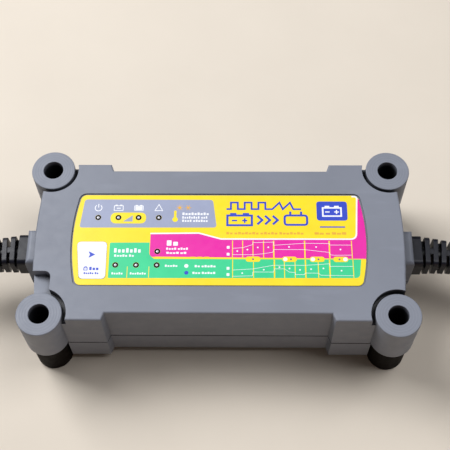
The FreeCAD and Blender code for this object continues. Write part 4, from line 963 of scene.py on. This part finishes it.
def light_domes():
    """Pale lens in the middle of each dark window."""
    form = bmesh.new()
    for x, y in LIGHT_PLACES:
        middle = Matrix.Translation((x * MM, y * MM, (LABEL_TOP - DOME_SINK) * MM))
        flattened = Matrix.Diagonal((DOME_R * MM, DOME_R * MM, DOME_HEIGHT * MM, 1.0))
        bmesh.ops.create_uvsphere(form, u_segments=20, v_segments=12, radius=1.0, matrix=middle @ flattened)
    for face in form.faces:
        face.smooth = True
    mesh = bpy.data.meshes.new("light_domes")
    form.to_mesh(mesh)
    form.free()
    piece = bpy.data.objects.new("light_domes", mesh)
    bpy.context.scene.collection.objects.link(piece)
    mesh.materials.append(FINISHES["lens_clear"])
    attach(piece, "charger")


# ---------------------------------------------------------------- stage

def make_camera():
    """Camera with a slight roll, looking down at the case from the front."""
    azimuth, elevation = CAMERA_AZIMUTH, CAMERA_ELEVATION
    back = Vector((math.sin(azimuth) * math.cos(elevation), -math.cos(azimuth) * math.cos(elevation),
                   math.sin(elevation)))
    right = Vector((math.cos(azimuth), math.sin(azimuth), 0.0))
    up = back.cross(right)
    rolled_right = right * math.cos(CAMERA_ROLL) + up * math.sin(CAMERA_ROLL)
    rolled_up = up * math.cos(CAMERA_ROLL) - right * math.sin(CAMERA_ROLL)
    turn = Matrix((rolled_right, rolled_up, back)).transposed()
    lens = bpy.data.cameras.new("camera")
    lens.lens = CAMERA_LENS
    lens.clip_start = 0.01
    camera = bpy.data.objects.new("camera", lens)
    camera.matrix_world = Matrix.Translation(CAMERA_TARGET + back * CAMERA_DISTANCE) @ turn.to_4x4()
    bpy.context.scene.collection.objects.link(camera)
    bpy.context.scene.camera = camera


def make_floor():
    """Plain pale floor."""
    mesh = bpy.data.meshes.new("floor")
    form = bmesh.new()
    bmesh.ops.create_cube(form, size=1.0)
    bmesh.ops.scale(form, vec=(FLOOR_SIDE, FLOOR_SIDE, FLOOR_THICK), verts=form.verts)
    bmesh.ops.translate(form, vec=(0, 0, -FLOOR_THICK / 2), verts=form.verts)
    form.to_mesh(mesh)
    form.free()
    floor = bpy.data.objects.new("floor", mesh)
    bpy.context.scene.collection.objects.link(floor)
    finish = Finish("floor_paper", roughness=0.85)
    finish.colour(finish.blend(finish.noise(60.0, 4.0), rgb(206, 196, 182), rgb(214, 204, 190)))
    finish.bump(finish.noise(0.8, 3.0), 0.03)
    mesh.materials.append(finish.material)


def add_lamp(name, place, size, power, colour):
    """Square soft lamp aimed at the case."""
    light = bpy.data.lights.new(name, "AREA")
    light.size = size
    light.energy = power
    light.color = colour
    lamp = bpy.data.objects.new(name, light)
    facing = (Vector(LAMP_AIM) - Vector(place)).to_track_quat("-Z", "Y")
    lamp.matrix_world = Matrix.Translation(place) @ facing.to_matrix().to_4x4()
    bpy.context.scene.collection.objects.link(lamp)


def light_studio():
    """Broad light from above and both sides, a weak warm fill in front, and a dim surround."""
    for lamp in LAMPS:
        add_lamp(*lamp)
    world = bpy.data.worlds.new("surround")
    world.use_nodes = True
    background = world.node_tree.nodes["Background"]
    background.inputs["Color"].default_value = SURROUND_COLOUR
    background.inputs["Strength"].default_value = SURROUND_STRENGTH
    bpy.context.scene.world = world
    bpy.context.scene.view_settings.view_transform = "Standard"


make_camera()
build_lead("mains", MAINS_LEAD, -1)
build_lead("output", OUTPUT_LEAD, 1)

print_label()
print_key()
light_domes()

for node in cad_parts.values():
    for slot in node.material_slots:
        if slot.material.name in FINISHES:
            slot.material = FINISHES[slot.material.name]

make_floor()
light_studio()
